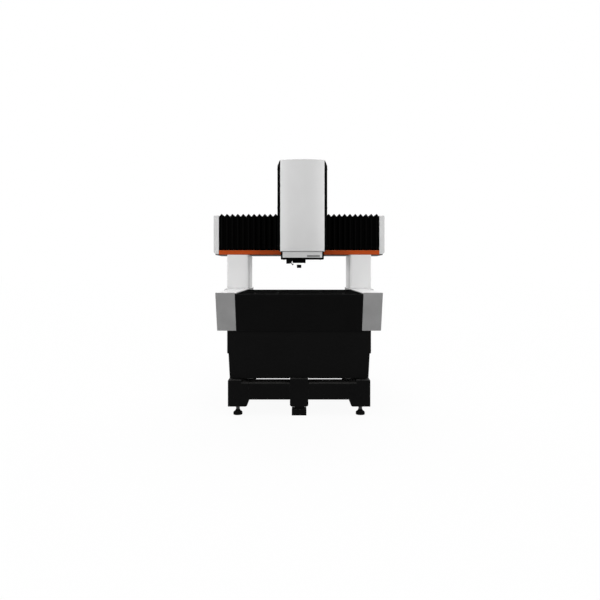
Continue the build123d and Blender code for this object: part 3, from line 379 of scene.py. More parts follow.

# %% [markdown]
# ## Optics, scales and magnets
# The lens is coated glass over a dark bore, and the cone over the lamps is opal plastic with a painted glow
# of its own. A measuring scale is a steel tape with fine lines, and a linear motor runs along a row of plated
# magnets. Lines and magnets repeat along one axis, so both take the fraction of a place divided by a pitch.

# %% Optics, scale and magnet finishes
def opal_with_painted_glow(name):
    """White plastic that lets a little light through, with a painted glow of its own."""
    material, tree, shader = new_finish(
        name, specular_ior_level=0.4, subsurface_weight=0.15, emission_color=grey(1.0), emission_strength=0.8
    )
    haze = cloud(tree, place(tree), 120, 3)
    tint = blend_colours(tree, haze, grey(0.86), grey(0.93, 0.01))
    feed(tree, shader, tint, between(tree, haze, 0.22, 0.34))
    relief(tree, shader, cloud(tree, place(tree), 900, 2), 0.00005, 0.3)
    return material


def coated_glass(name):
    """Clear glass with the violet cast of a coated lens."""
    material, tree, shader = new_finish(name, transmission_weight=1.0, ior=1.52)
    smear = cloud(tree, place(tree), 150, 4)
    cast = blend_colours(tree, smear, (0.75, 0.72, 0.9, 1), (0.85, 0.85, 0.95, 1))
    feed(tree, shader, cast, between(tree, smear, 0.01, 0.06))
    return material


def repeat_along(tree, axis, pitch):
    """A number that climbs from 0 to 1 once in every pitch along an axis."""
    along = add(tree, "ShaderNodeSeparateXYZ", {0: place(tree)}).outputs[axis]
    return reckon(tree, "FRACT", reckon(tree, "DIVIDE", along, pitch))


def graduated(name, axis, pitch=0.004):
    """A steel tape with dark graduation lines across it."""
    material, tree, shader = new_finish(name, metallic=0.8)
    line = between(tree, repeat_along(tree, axis, pitch), 1, 0, 0.22, 0.26)
    streaks = cloud(tree, place(tree), 500, 3)
    tape = blend_colours(tree, streaks, (0.58, 0.55, 0.46, 1), (0.72, 0.69, 0.60, 1))
    lined = blend_colours(tree, line, tape, grey(0.03))
    feed(tree, shader, lined, between(tree, streaks, 0.25, 0.4))
    return material


def magnet_row(name, axis, pitch=0.032):
    """Nickel-plated magnets side by side, with a dark line of resin between them."""
    material, tree, shader = new_finish(name, metallic=0.9)
    joint = between(tree, repeat_along(tree, axis, pitch), 1, 0, 0.03, 0.05)
    smear = cloud(tree, place(tree), 120, 4)
    plating = blend_colours(tree, smear, grey(0.26, 0.03), grey(0.34, 0.03))
    jointed = blend_colours(tree, joint, plating, grey(0.02))
    feed(tree, shader, jointed, between(tree, smear, 0.22, 0.4))
    relief(tree, shader, reckon(tree, "SUBTRACT", 1.0, joint), 0.0004, 0.5)
    return material


# The opal cone glows with painted light of its own, though it is no lamp.
glowing_opal_plastic = opal_with_painted_glow("glowing_opal_plastic")
lens_glass = coated_glass("lens_glass")
scale_tape_x, scale_tape_y = (graduated("scale_tape_" + way, i) for i, way in enumerate("xy"))
magnets_x, magnets_y, magnets_z = (magnet_row("magnets_" + way, i) for i, way in enumerate("xyz"))
print(len(bpy.data.materials), "finishes in all")

# %% [markdown]
# ## Pieces with eased edges
# A CAD edge is perfectly sharp, and no real one is: a sheet is folded to a radius, a casting is
# filleted, a machined block is deburred. A thin bright line along an edge is what makes a piece look
# made. Each shown node is copied, its loose triangles are merged into whole faces, and only its
# outward corners are bevelled, so the piece never grows beyond its CAD size. The new faces get the
# worn attribute that the finishes read.

# %% Helpers that ease a piece and put it in the scene
def new_piece(name, mesh, finish, body, slot, *stands_for):
    """Put a finished mesh in the scene, riding on its body and standing for its CAD nodes."""
    mesh.materials.clear()
    mesh.materials.append(finish)
    piece = bpy.data.objects.new(name, mesh)
    bpy.context.scene.collection.objects.link(piece)
    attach(piece, body)
    if stands_for:
        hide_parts(*stands_for)
    return piece


def bevel_corners(shape, corners, ease, **options):
    """Bevel some edges of a shape and mark the new faces as worn."""
    worn = shape.faces.layers.float["worn"]
    made = bmesh.ops.bevel(
        shape, geom=corners, offset=ease, segments=2, profile=0.5, affect="EDGES", **options
    )
    for face in made["faces"]:
        face[worn] = 1.0


def eased(node, finish, slot, ease):
    """A copy of a CAD node with its outward corners bevelled."""
    shape = bmesh.new()
    shape.from_mesh(nodes[node].data)
    shape.faces.layers.float.new("worn")
    bmesh.ops.remove_doubles(shape, verts=shape.verts, dist=4e-6)
    bmesh.ops.dissolve_limit(shape, angle_limit=radians(0.3), verts=shape.verts, edges=shape.edges)
    corners = [e for e in shape.edges if e.is_manifold and e.calc_face_angle_signed() > radians(28)]
    bevel_corners(shape, corners, ease, clamp_overlap=True)
    bmesh.ops.dissolve_degenerate(shape, dist=2e-6, edges=shape.edges)
    for face in shape.faces:
        face.smooth = True
    mesh = bpy.data.meshes.new(node + "_eased")
    shape.to_mesh(mesh)
    shape.free()
    mesh.set_sharp_from_angle(angle=radians(50))
    piece = new_piece(node + "_eased", mesh, finish, body_of[node], slot, node)
    normals = piece.modifiers.new("flat faces stay flat", "WEIGHTED_NORMAL")
    normals.keep_sharp = True
    return piece


# %% Ease the edges of the shown pieces
eased_pieces = [
    ("stand_legs", stand_paint, "black_paint", 0.003),
    ("stand_rails", stand_paint, "black_paint", 0.003),
    ("machine_bed", black_mineral, "black_mineral", 0.003),
    ("stone_table", dark_stone, "stone", 0.001),
    ("front_apron", black_paint, "black_paint", 0.0015),
    ("front_panel", black_trim, "black_paint", 0.002),
    ("rear_panel", black_paint, "black_paint", 0.0015),
    ("side_skirts", black_trim, "black_paint", 0.0015),
    ("guide_beams", grey_mineral, "grey_mineral", 0.004),
    ("guide_strips", white_paint, "white_paint", 0.0008),
    ("columns", light_paint, "light_paint", 0.002),
    ("bearing_arms", light_paint, "light_paint", 0.002),
    ("drive_covers", cap_plastic, "light_plastic", 0.0015),
    ("beam", milled_aluminium, "aluminium", 0.002),
    ("beam_valance", black_paint, "black_paint", 0.001),
    ("beam_stripe", orange_paint, "orange_paint", 0.0008),
    ("beam_end_caps", cap_plastic, "light_plastic", 0.0025),
    ("beam_rear_cover", light_paint, "light_paint", 0.0015),
    ("carriage_plate", milled_aluminium, "aluminium", 0.001),
    ("carriage_cover", black_trim, "black_paint", 0.0008),
    ("z_backplate", milled_aluminium, "aluminium", 0.001),
    ("head_cover", light_plastic, "light_plastic", 0.0015),
    ("head_side_panels", black_plastic, "black_plastic", 0.0015),
    ("head_hood", black_plastic, "black_plastic", 0.001),
    ("z_slide", milled_aluminium, "aluminium", 0.001),
    ("shroud", black_plastic, "black_plastic", 0.0012),
    ("shroud_face", face_plastic, "light_plastic", 0.0008),
    ("ring_light", black_plastic, "black_plastic", 0.0008),
    ("objective", black_anodised, "black_anodised", 0.0006),
    ("camera", black_anodised, "black_anodised", 0.0008),
    ("probe_block", black_anodised, "black_anodised", 0.0008),
    ("foot_pads", stand_paint, "black_paint", 0.001),
    ("foot_studs", blackened_steel, "steel", 0.0008),
    ("centre_feet", stand_paint, "black_paint", 0.0015),
    ("isolators", foot_rubber, "rubber", 0.001),
]
for node, finish, slot, ease in eased_pieces:
    piece = eased(node, finish, slot, ease)
    print(piece.name, len(piece.data.polygons), "faces")

# %% [markdown]
# ## Pieces that keep their CAD shape
# Rails, bearing blocks, motors, scales and small optical parts are already right: they are ground,
# turned or cast parts with crisp edges, and most are behind covers. They only get their finish.

# %% Finish the pieces that stay as they are
plain_pieces = {
    "y_rails": rail_steel_y, "x_rails": rail_steel_x, "z_rails": rail_steel_z,
    "y_bearing_blocks": block_steel, "x_bearing_blocks": block_steel, "z_bearing_blocks": block_steel,
    "y_magnet_track": magnets_y, "x_magnet_track": magnets_x, "z_magnet_track": magnets_z,
    "y_motor_coil": coil_resin, "x_motor_coil": coil_resin, "z_motor_coil": coil_resin,
    "y_scale": scale_tape_y, "x_scale": scale_tape_x,
    "y_read_head": black_anodised, "x_read_head": black_anodised,
    "counterbalance_cylinder": milled_aluminium, "counterbalance_rod": rail_steel_z,
    "optical_tube": black_anodised, "objective_lens": lens_glass, "light_cone": glowing_opal_plastic,
    "table_inserts": blackened_steel, "stylus": black_ceramic,
}
for node, finish in plain_pieces.items():
    nodes[node].material_slots[0].material = finish
print(len(plain_pieces), "nodes keep their shape")

# %% [markdown]
# ## Trees that make geometry
# Geometry Nodes make what repeats and what follows a rule. Each tree has named inputs for its sizes
# and one for its finish, and it ends by making its instances real, because the export drops
# instances. A tree runs on an object that is made for it and then removed, so only a plain mesh stays.

# %% Helpers that open, close and run a tree
def new_tree(name, numbers, whole=()):
    """A geometry tree with named inputs for its sizes and a material input."""
    tree = bpy.data.node_groups.new(name, "GeometryNodeTree")
    sockets = tree.interface
    sockets.new_socket("Geometry", in_out="INPUT", socket_type="NodeSocketGeometry")
    for socket in numbers:
        sockets.new_socket(socket, in_out="INPUT", socket_type="NodeSocketFloat")
    for socket in whole:
        sockets.new_socket(socket, in_out="INPUT", socket_type="NodeSocketInt")
    sockets.new_socket("Finish", in_out="INPUT", socket_type="NodeSocketMaterial")
    sockets.new_socket("Geometry", in_out="OUTPUT", socket_type="NodeSocketGeometry")
    return tree, add(tree, "NodeGroupInput").outputs


def close_tree(tree, geometry, finish):
    """Make instances real, give them their finish and end the tree."""
    real = add(tree, "GeometryNodeRealizeInstances", {0: geometry}).outputs[0]
    dressed = add(tree, "GeometryNodeSetMaterial", {"Geometry": real, "Material": finish}).outputs[0]
    add(tree, "NodeGroupOutput", {0: dressed})


def grow(name, tree, sizes, finish, seeds=None, thickness=None):
    """Run a tree on a mesh of seed points and keep the result as a plain mesh."""
    start = seeds or bpy.data.meshes.new(name + "_start")
    maker = bpy.data.objects.new(name + "_maker", start)
    bpy.context.scene.collection.objects.link(maker)
    modifier = maker.modifiers.new("tree", "NODES")
    modifier.node_group = tree
    given = {**sizes, "Finish": finish}
    for socket in tree.interface.items_tree:
        if socket.in_out == "INPUT" and socket.name in given:
            modifier[socket.identifier] = given[socket.name]
    if thickness:
        wall = maker.modifiers.new("wall", "SOLIDIFY")
        wall.thickness = thickness
        wall.offset = -1.0
    evaluated = maker.evaluated_get(bpy.context.evaluated_depsgraph_get())
    mesh = bpy.data.meshes.new_from_object(evaluated)
    mesh.name = name
    bpy.data.objects.remove(maker)
    return mesh


# %% [markdown]
# ## The pleated bellows
# Two bellows keep dust off the beam. Each is one sheet of coated cloth folded into pleats over the
# front and the top of the beam, with its corner mitred. The shape follows a rule, so Geometry Nodes
# make it: a flat grid is bent to the angle of the beam, and a rounded zigzag moves it in and out
# along its length. It blends between the bridge and the carriage, so it opens and closes with them.

# %% A tree that folds a pleated cover
def stored(tree, geometry, name, value, data_type, domain):
    """Keep a value on the geometry under a name."""
    inputs = {"Geometry": geometry, "Name": name, "Value": value}
    options = {"data_type": data_type, "domain": domain}
    return add(tree, "GeometryNodeStoreNamedAttribute", inputs, **options).outputs[0]


def pleated_cover_tree(steps_per_pleat=12.0, rows=41):
    """A grid bent over the beam and folded by a rounded zigzag."""
    names = ["Start", "Length", "Depth", "Front", "Rear", "Bottom", "Top", "Roundness"]
    tree, sizes = new_tree("pleated_cover", names, ["Pleats"])
    columns = reckon(tree, "MULTIPLY_ADD", sizes["Pleats"], steps_per_pleat, 1.0)
    grid_sizes = {"Size X": 1.0, "Size Y": 1.0, "Vertices X": columns, "Vertices Y": rows}
    grid = add(tree, "GeometryNodeMeshGrid", grid_sizes).outputs
    flat = add(tree, "ShaderNodeSeparateXYZ", {0: grid["UV Map"]}).outputs
    turn = reckon(tree, "MULTIPLY", reckon(tree, "MULTIPLY", flat[0], sizes["Pleats"]), 2 * pi)
    wave = reckon(tree, "MULTIPLY", reckon(tree, "COSINE", turn), sizes["Roundness"])
    largest = reckon(tree, "ARCSINE", sizes["Roundness"])
    zigzag = reckon(tree, "DIVIDE", reckon(tree, "ARCSINE", wave), largest)
    fold = reckon(tree, "MULTIPLY_ADD", zigzag, -0.5, 0.5)
    inset = reckon(tree, "MULTIPLY", sizes["Depth"], reckon(tree, "SUBTRACT", 1.0, fold))
    up = between(tree, flat[1], 0, 1, 0, 0.5)
    back = between(tree, flat[1], 0, 1, 0.5, 1)
    front = reckon(tree, "ADD", sizes["Front"], inset)
    top = reckon(tree, "SUBTRACT", sizes["Top"], inset)
    x = reckon(tree, "MULTIPLY_ADD", flat[0], sizes["Length"], sizes["Start"])
    y = reckon(tree, "MULTIPLY_ADD", back, reckon(tree, "SUBTRACT", sizes["Rear"], front), front)
    rise = reckon(tree, "SUBTRACT", top, sizes["Bottom"])
    z = reckon(tree, "MULTIPLY_ADD", up, rise, sizes["Bottom"])
    mapped = stored(tree, grid["Mesh"], "cloth", grid["UV Map"], "FLOAT2", "CORNER")
    marked = stored(tree, mapped, "fold", fold, "FLOAT", "POINT")
    spot = add(tree, "ShaderNodeCombineXYZ", {0: x, 1: y, 2: z}).outputs[0]
    bent = add(tree, "GeometryNodeSetPosition", {"Geometry": marked, "Position": spot}).outputs[0]
    smooth = add(tree, "GeometryNodeSetShadeSmooth", {"Geometry": bent}).outputs[0]
    close_tree(tree, smooth, sizes["Finish"])
    return tree


# %% Fold the bellows
cover_tree = pleated_cover_tree()
pleat_pitch = 0.044
pleat_depth = 0.020
cloth_thickness = 0.002
for node, fixed_end in (("left_bellows", "low"), ("right_bellows", "high")):
    low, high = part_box(node)
    length = high.x - low.x
    pleats = round(length / pleat_pitch)
    sizes = {
        "Start": low.x, "Length": length, "Depth": pleat_depth, "Front": low.y, "Rear": high.y,
        "Bottom": low.z, "Top": high.z, "Roundness": 0.97, "Pleats": pleats,
    }
    mesh = grow(node + "_cloth", cover_tree, sizes, bellows_cloth, thickness=cloth_thickness)
    piece = bpy.data.objects.new(node + "_cloth", mesh)
    bpy.context.scene.collection.objects.link(piece)
    outer, inner = (low, high) if fixed_end == "low" else (high, low)
    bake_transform(piece, "bridge", "carriage", start=(outer.x, low.y, low.z), end=(inner.x, low.y, low.z))
    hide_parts(node)

# %% [markdown]
# ## Socket screws
# Sheet covers are held by socket-head screws. Every screw has the same shape, and only its place and
# the way that it looks differ, so Geometry Nodes set one screw on many points. The points carry an
# attribute named outward, which the tree reads to turn each screw, and a fixed seed twists it. The
# screw is a short stack of extrusions: a head, a chamfer, a flat ring and a socket.

# %% Helpers that set a shape on points
def points_facing(name, spots):
    """A mesh of single points, each with the direction that it faces."""
    mesh = bpy.data.meshes.new(name)
    mesh.from_pydata([point for point, outward in spots], [], [])
    facing = mesh.attributes.new("outward", "FLOAT_VECTOR", "POINT")
    facing.data.foreach_set("vector", [part for point, outward in spots for part in outward])
    return mesh


def set_on_points(tree, sizes, shape):
    """Set a shape on every seed point, turned outward and twisted by a seeded angle."""
    named = add(tree, "GeometryNodeInputNamedAttribute", {"Name": "outward"}, data_type="FLOAT_VECTOR")
    outward = {"Vector": named.outputs[0]}
    facing = add(tree, "FunctionNodeAlignRotationToVector", outward, axis="Z").outputs[0]
    any_turn = {2: 0.0, 3: 2 * pi, "Seed": sizes["Seed"]}
    angle = add(tree, "FunctionNodeRandomValue", any_turn).outputs[1]
    twist = add(tree, "FunctionNodeAxisAngleToRotation", {"Axis": (0, 0, 1), "Angle": angle}).outputs[0]
    both = {"Rotation": facing, "Rotate By": twist}
    turned = add(tree, "FunctionNodeRotateRotation", both, rotation_space="LOCAL").outputs[0]
    spread = {"Points": sizes["Geometry"], "Instance": shape, "Rotation": turned}
    return add(tree, "GeometryNodeInstanceOnPoints", spread).outputs[0]


def set_out(name, tree, sizes, spots, finish, body, slot):
    """Run a tree on points and put what it makes in the scene as one piece."""
    mesh = grow(name, tree, sizes, finish, points_facing(name + "_points", spots))
    return new_piece(name, mesh, finish, body, slot)


# %% A tree that makes socket screws
def raised(tree, mesh, top, height, scale):
    """Pull a face out by a height and scale it; gives the mesh and the face at its end."""
    pull = {"Mesh": mesh, "Selection": top, "Offset Scale": height}
    step = add(tree, "GeometryNodeExtrudeMesh", pull).outputs
    narrow = {"Geometry": step["Mesh"], "Selection": step["Top"], "Scale": scale}
    return add(tree, "GeometryNodeScaleElements", narrow).outputs[0], step["Top"]


def socket_screw_tree(corners=12):
    """One socket screw, set on every point of a seed mesh."""
    tree, sizes = new_tree("socket_screws", ["Radius", "Height"], ["Seed"])
    circle = {"Vertices": corners, "Radius": sizes["Radius"]}
    disc = add(tree, "GeometryNodeMeshCircle", circle, fill_type="NGON").outputs[0]
    under = add(tree, "GeometryNodeFlipFaces", {"Mesh": disc}).outputs[0]
    head, top = disc, True
    for rise, scale in ((0.8, 1.0), (0.2, 0.88), (0.0, 0.6), (-0.6, 0.96)):
        head, top = raised(tree, head, top, reckon(tree, "MULTIPLY", sizes["Height"], rise), scale)
    both = add(tree, "GeometryNodeJoinGeometry")
    tree.links.new(head, both.inputs[0])
    tree.links.new(under, both.inputs[0])
    joined = {"Geometry": both.outputs[0], "Distance": 1e-6}
    screw = add(tree, "GeometryNodeMergeByDistance", joined).outputs[0]
    close_tree(tree, set_on_points(tree, sizes, screw), sizes["Finish"])
    return tree


# %% [markdown]
# ## Where the screws go
# A cover has its screws in rows along its edges. So a row is given by how far its first and its last
# screw stay from the two edges, and by a count, and the box of the cover gives the rest. The side
# panels of the head have cut corners, so their six places are written one by one.

# %% Set the socket screws
def evenly(span, start, end, count):
    """Even places along a span, from a start after its low end to an end before its high one."""
    first, last = span[0] + start, span[1] - end
    return [first + (last - first) * i / (count - 1) for i in range(count)]


def on_face(node, side, spots):
    """Points on the outermost face of a node, from their places along the other two axes."""
    axis, sign = side
    low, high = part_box(node)
    outward = tuple(sign if i == axis else 0.0 for i in range(3))
    level = (high if sign > 0 else low)[axis]
    return [(spot[:axis] + (level,) + spot[axis:], outward) for spot in spots]


def in_rows(node, side, *rows):
    """Points in rows on the outermost face of a node."""
    spans = [span for axis, span in enumerate(zip(*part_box(node))) if axis != side[0]]
    first, second = (evenly(span, *row) for span, row in zip(spans, rows))
    return on_face(node, side, [(a, b) for a in first for b in second])


right, left, rear, up, down = (0, 1), (0, -1), (1, 1), (2, 1), (2, -1)
skirt_rows = (0.030, 0.030, 5), (0.018, 0.018, 2)
back_rows = (0.031, 0.031, 5), (0.022, 0.245, 2)
deck_rows = (0.071, 0.071, 2), (0.026, 0.035, 3)
drive_rows = (0.018, 0.018, 2), (0.018, 0.018, 2)
beam_rows = (0.034, 0.034, 6), (0.016, 0.016, 2)
hood_rows = (0.020, 0.020, 2), (0.020, 0.064, 3)
shroud_rows = (0.021, 0.021, 2), (0.051, 0.016, 2)
panel_spots = [(0.06, 1.185), (0.22, 1.185), (0.06, 1.49), (0.26, 1.49), (0.06, 1.80), (0.26, 1.80)]
screws = {
    "base": in_rows("side_skirts", right, *skirt_rows) + in_rows("side_skirts", left, *skirt_rows)
    + in_rows("rear_panel", rear, *back_rows) + in_rows("rear_panel", up, *deck_rows),
    "bridge": in_rows("drive_covers", right, *drive_rows) + in_rows("drive_covers", left, *drive_rows)
    + in_rows("beam_rear_cover", rear, *beam_rows),
    "carriage": on_face("head_side_panels", right, panel_spots)
    + on_face("head_side_panels", left, panel_spots) + in_rows("head_hood", rear, *hood_rows),
    "head": in_rows("shroud", down, *shroud_rows),
}
screw_tree = socket_screw_tree()
screw_sizes = {"Radius": 0.0045, "Height": 0.003, "Seed": 7}
for body, spots in screws.items():
    finish = zinc_steel if body == "bridge" else blackened_steel
    piece = set_out(body + "_screws", screw_tree, screw_sizes, spots, finish, body, "steel")
    print(body, len(spots), "screws,", len(piece.data.polygons), "faces")

# %% [markdown]
# ## Caps over the rail screws
# A profiled rail is screwed down through counterbored holes, and each hole gets a thin cap that keeps
# swarf out. The caps follow the rail at an even pitch, a fifth of a millimetre proud of it, so the
# bearing blocks pass over them.

# %% Press the caps into the rails
def rail_cap_tree():
    """One thin cap, set on every point of a seed mesh."""
    tree, sizes = new_tree("rail_caps", ["Radius", "Height"], ["Seed"])
    disc = {"Vertices": 20, "Radius": sizes["Radius"], "Depth": sizes["Height"]}
    cap = add(tree, "GeometryNodeMeshCylinder", disc).outputs[0]
    close_tree(tree, set_on_points(tree, sizes, cap), sizes["Finish"])
    return tree


rail_low, rail_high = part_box("y_rails")
cap_count = 21
cap_margin = 0.03
rail_middle = (rail_low.z + rail_high.z) / 2
cap_line = evenly((rail_low.y, rail_high.y), cap_margin, cap_margin, cap_count)
cap_spots = [(y, rail_middle) for y in cap_line]
both_rails = on_face("y_rails", right, cap_spots) + on_face("y_rails", left, cap_spots)
cap_sizes = {"Radius": 0.0055, "Height": 0.0004, "Seed": 3}
set_out("rail_caps", rail_cap_tree(), cap_sizes, both_rails, black_plastic, "base", "black_plastic")
print(len(both_rails), "caps at", round(1000 * (cap_line[1] - cap_line[0]), 1), "mm")

# %% [markdown]
# ## Threads of the levelling studs
# Between the foot and its lock nut a short length of thread shows. It is a helix with a three-sided
# profile, so the tree sweeps that profile along a spiral and sets the result on each stud.

# %% Cut the threads
def swept(tree, path, profile, capped=False):
    """A profile swept along a path, with its two ends closed where it has any."""
    inputs = {"Curve": path, "Profile Curve": profile, "Fill Caps": capped}
    return add(tree, "GeometryNodeCurveToMesh", inputs).outputs[0]


def thread_tree():
    """A ridge along a helix, set on every point of a seed mesh."""
    tree, sizes = new_tree("stud_threads", ["Radius", "Ridge", "Height", "Turns"], ["Seed"])
    helix = {
        "Resolution": 20, "Rotations": sizes["Turns"], "Start Radius": sizes["Radius"],
        "End Radius": sizes["Radius"], "Height": sizes["Height"],
    }
    path = add(tree, "GeometryNodeCurveSpiral", helix).outputs[0]
    three_sided = {"Resolution": 3, "Radius": sizes["Ridge"]}
    profile = add(tree, "GeometryNodeCurvePrimitiveCircle", three_sided).outputs[0]
    ridge = swept(tree, path, profile, capped=True)
    close_tree(tree, set_on_points(tree, sizes, ridge), sizes["Finish"])
    return tree


pad_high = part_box("foot_pads")[1]
stud_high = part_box("foot_studs")[1]
pad_radius = 0.031
half_nut = 0.018
nut_bottom = 0.052
end_gap = 0.001
stud_x, stud_y = pad_high.x - pad_radius, stud_high.y - half_nut
thread_bottom = pad_high.z + end_gap
thread_height = nut_bottom - pad_high.z - 2 * end_gap
studs = [((x, y, thread_bottom), (0, 0, 1)) for x in (-stud_x, stud_x) for y in (-stud_y, stud_y)]
thread_sizes = {"Radius": 0.0119, "Ridge": 0.0011, "Height": thread_height, "Turns": 6.0, "Seed": 5}
threads = set_out("stud_threads", thread_tree(), thread_sizes, studs, blackened_steel, "base", "steel")
print("threads", len(threads.data.polygons), "faces")

# %% [markdown]
# ## Lamps of the ring light
# Under the lamp body, inside the opal cone, small light-emitting tiles sit in a circle round the
# objective. They repeat round a circle, so the tree sets a tile on each point of a ring.

# %% Set the lamps
def lamp_glow(name):
    """Warm white tiles with a yellow phosphor tint at rest."""
    warm_white = (1, 0.97, 0.9, 1)
    material, tree, shader = new_finish(name, roughness=0.4, emission_color=warm_white, emission_strength=0.9)
    grain = cloud(tree, place(tree), 800, 2)
    tint = blend_colours(tree, grain, (0.80, 0.72, 0.42, 1), (0.9, 0.84, 0.55, 1))
    tree.links.new(tint, shader.inputs["Base Color"])
    return material


def lamp_ring_tree():
    """Tiles on a circle, set on one seed point."""
    tree, sizes = new_tree("lamp_ring", ["Radius", "Tile", "Thickness"], ["Lamps", "Seed"])
    circle = {"Vertices": sizes["Lamps"], "Radius": sizes["Radius"]}
    ring = add(tree, "GeometryNodeMeshCircle", circle).outputs[0]
    sides = {0: sizes["Tile"], 1: sizes["Tile"], 2: sizes["Thickness"]}
    size = add(tree, "ShaderNodeCombineXYZ", sides).outputs[0]
    tile = add(tree, "GeometryNodeMeshCube", {"Size": size}).outputs[0]
    spot = {"Vector": add(tree, "GeometryNodeInputPosition").outputs[0]}
    facing = add(tree, "FunctionNodeAlignRotationToVector", spot, axis="X").outputs[0]
    spread = {"Points": ring, "Instance": tile, "Rotation": facing}
    tiles = add(tree, "GeometryNodeInstanceOnPoints", spread).outputs[0]
    close_tree(tree, set_on_points(tree, sizes, tiles), sizes["Finish"])
    return tree


ring_low, ring_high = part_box("ring_light")
lamp_drop = 0.0005
ring_x, ring_y = (ring_low.x + ring_high.x) / 2, (ring_low.y + ring_high.y) / 2
ring_centre = (ring_x, ring_y, ring_low.z - lamp_drop)
lamp_finish = lamp_glow("lamp_glow")
lamp_sizes = {"Radius": 0.034, "Tile": 0.005, "Thickness": 0.0012, "Lamps": 24, "Seed": 1}
facing_down = [(ring_centre, (0, 0, -1))]
lamps = set_out("ring_lamps", lamp_ring_tree(), lamp_sizes, facing_down, lamp_finish, "head", "white_plastic")
print("lamps", len(lamps.data.polygons), "faces")

# %% [markdown]
# ## A rim round the opal cone
# A black rim holds the upper edge of the opal cone against the lamp body. It is one flat band that
# follows a circle, so the tree sweeps a small rectangle along a ring.

# %% Sweep the rim
def rim_tree():
    """A flat band along a circle, set on one seed point."""
    tree, sizes = new_tree("lamp_rim", ["Radius", "Wall", "Height"], ["Seed"])
    circle = {"Resolution": 72, "Radius": sizes["Radius"]}
    path = add(tree, "GeometryNodeCurvePrimitiveCircle", circle).outputs[0]
    flat = {"Width": sizes["Wall"], "Height": sizes["Height"]}
    profile = add(tree, "GeometryNodeCurvePrimitiveQuadrilateral", flat).outputs[0]
    close_tree(tree, set_on_points(tree, sizes, swept(tree, path, profile)), sizes["Finish"])
    return tree


rim_inset = 0.0019
rim_radius = (ring_high.x - ring_low.x) / 2 - rim_inset
rim_sizes = {"Radius": rim_radius, "Wall": 0.0024, "Height": 0.0085, "Seed": 1}
facing_up = [(ring_centre, (0, 0, 1))]
rim = set_out("lamp_rim", rim_tree(), rim_sizes, facing_up, black_plastic, "head", "black_plastic")
rim_levels = [vertex.co.z for vertex in rim.data.vertices]
print("The rim goes from", round(min(rim_levels), 4), "to", round(max(rim_levels), 4), "m")

# %% [markdown]
# ## A plate and a strip of painted shade
# A small grey plate sits on the light face under the head, and a thin black strip along the lower edge of the
# cover above it paints the shadow line under that edge. Both follow the round front, so both are bent strips:
# points on two arcs of the same centre, closed into a shell with eased corners.

# %% Bend the plate and the strip of painted shade
def close_shell(name, shape, finish, body, slot, ease):
    """Turn the faces outward, ease the corners and put the shell in the scene."""
    bmesh.ops.recalc_face_normals(shape, faces=shape.faces)
    shape.faces.layers.float.new("worn")
    corners = [e for e in shape.edges if e.calc_face_angle_signed() > radians(40)]
    bevel_corners(shape, corners, ease)
    mesh = bpy.data.meshes.new(name)
    shape.to_mesh(mesh)
    shape.free()
    return new_piece(name, mesh, finish, body, slot)


def bent_strip(name, centre, radius, x_range, z_range, finish, body, slot, steps=14):
    """A thin strip that follows the head's round front."""
    thickness, ease = 0.0008, 0.0003
    shape = bmesh.new()
    rings = []
    for i in range(steps + 1):
        x = x_range[0] + (x_range[1] - x_range[0]) * i / steps - centre.x
        ring = []
        for reach, z in ((0, 0), (thickness, 0), (thickness, 1), (0, 1)):
            depth = ((radius + reach) ** 2 - x * x) ** 0.5
            ring.append(shape.verts.new((centre.x + x, centre.y - depth, z_range[z])))
        rings.append(ring)
    for first, second in zip(rings, rings[1:]):
        for k in range(4):
            shape.faces.new((first[k], first[(k + 1) % 4], second[(k + 1) % 4], second[k]))
    shape.faces.new(rings[0][::-1])
    shape.faces.new(rings[-1])
    return close_shell(name, shape, finish, body, slot, ease)


cover_low, cover_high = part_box("head_cover")
face_low, face_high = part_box("shroud_face")
cover_radius = 0.5
face_radius = cover_radius - (face_low.y - cover_low.y)
front_centre = Vector(((cover_low.x + cover_high.x) / 2, cover_low.y + cover_radius))
plate_grey = moulding("plate_grey", grey(0.165), 0.4, 0.2)
plate_width, plate_height = 0.1023, 0.0159
plate_end = face_high.x - 0.0183
plate_bottom = face_low.z + 0.0048
plate_x = (plate_end - plate_width, plate_end)
plate_z = (plate_bottom, plate_bottom + plate_height)
bent_strip("blank_plate", front_centre, face_radius, plate_x, plate_z, plate_grey, "head", "black_anodised")
# A thin black strip along the cover's lower edge paints the shadow line under it.
shade_strip_inset, shade_strip_height = 0.004, 0.003
shade_strip_x = (cover_low.x + shade_strip_inset, cover_high.x - shade_strip_inset)
shade_strip_z = (cover_low.z, cover_low.z + shade_strip_height)
bent_strip(
    "cover_shade_strip", front_centre, cover_radius, shade_strip_x, shade_strip_z, black_plastic, "carriage", "black_plastic"
)
print("The plate follows a radius of", round(face_radius, 4), "m, and the trim one of", cover_radius, "m")

# %% [markdown]
# ## Sheets under the beam
# ## Sheets of painted shade under the beam
# it between the columns and out to the end caps. A sheet keeps one outline along its depth, so a
# helper draws the outline twice and joins the two.

# %% Push the sheets along the beam
def rectangle(x_range, z_range):
    """The four corners of an outline in x and z."""
    return [(x_range[i], z_range[k]) for i, k in ((0, 0), (1, 0), (1, 1), (0, 1))]


def pushed(name, blocks, finish, body, slot, ease=0.0004):
    """Outlines in x and z, each pushed along y between its two ends."""
    shape = bmesh.new()
    for outline, ends in blocks:
        first, second = ([shape.verts.new((x, y, z)) for x, z in outline] for y in ends)
        shape.faces.new(first)
        shape.faces.new(second[::-1])
        for k, corner in enumerate(first):
            shape.faces.new((first[k - 1], corner, second[k], second[k - 1]))
    return close_shell(name, shape, finish, body, slot, ease)


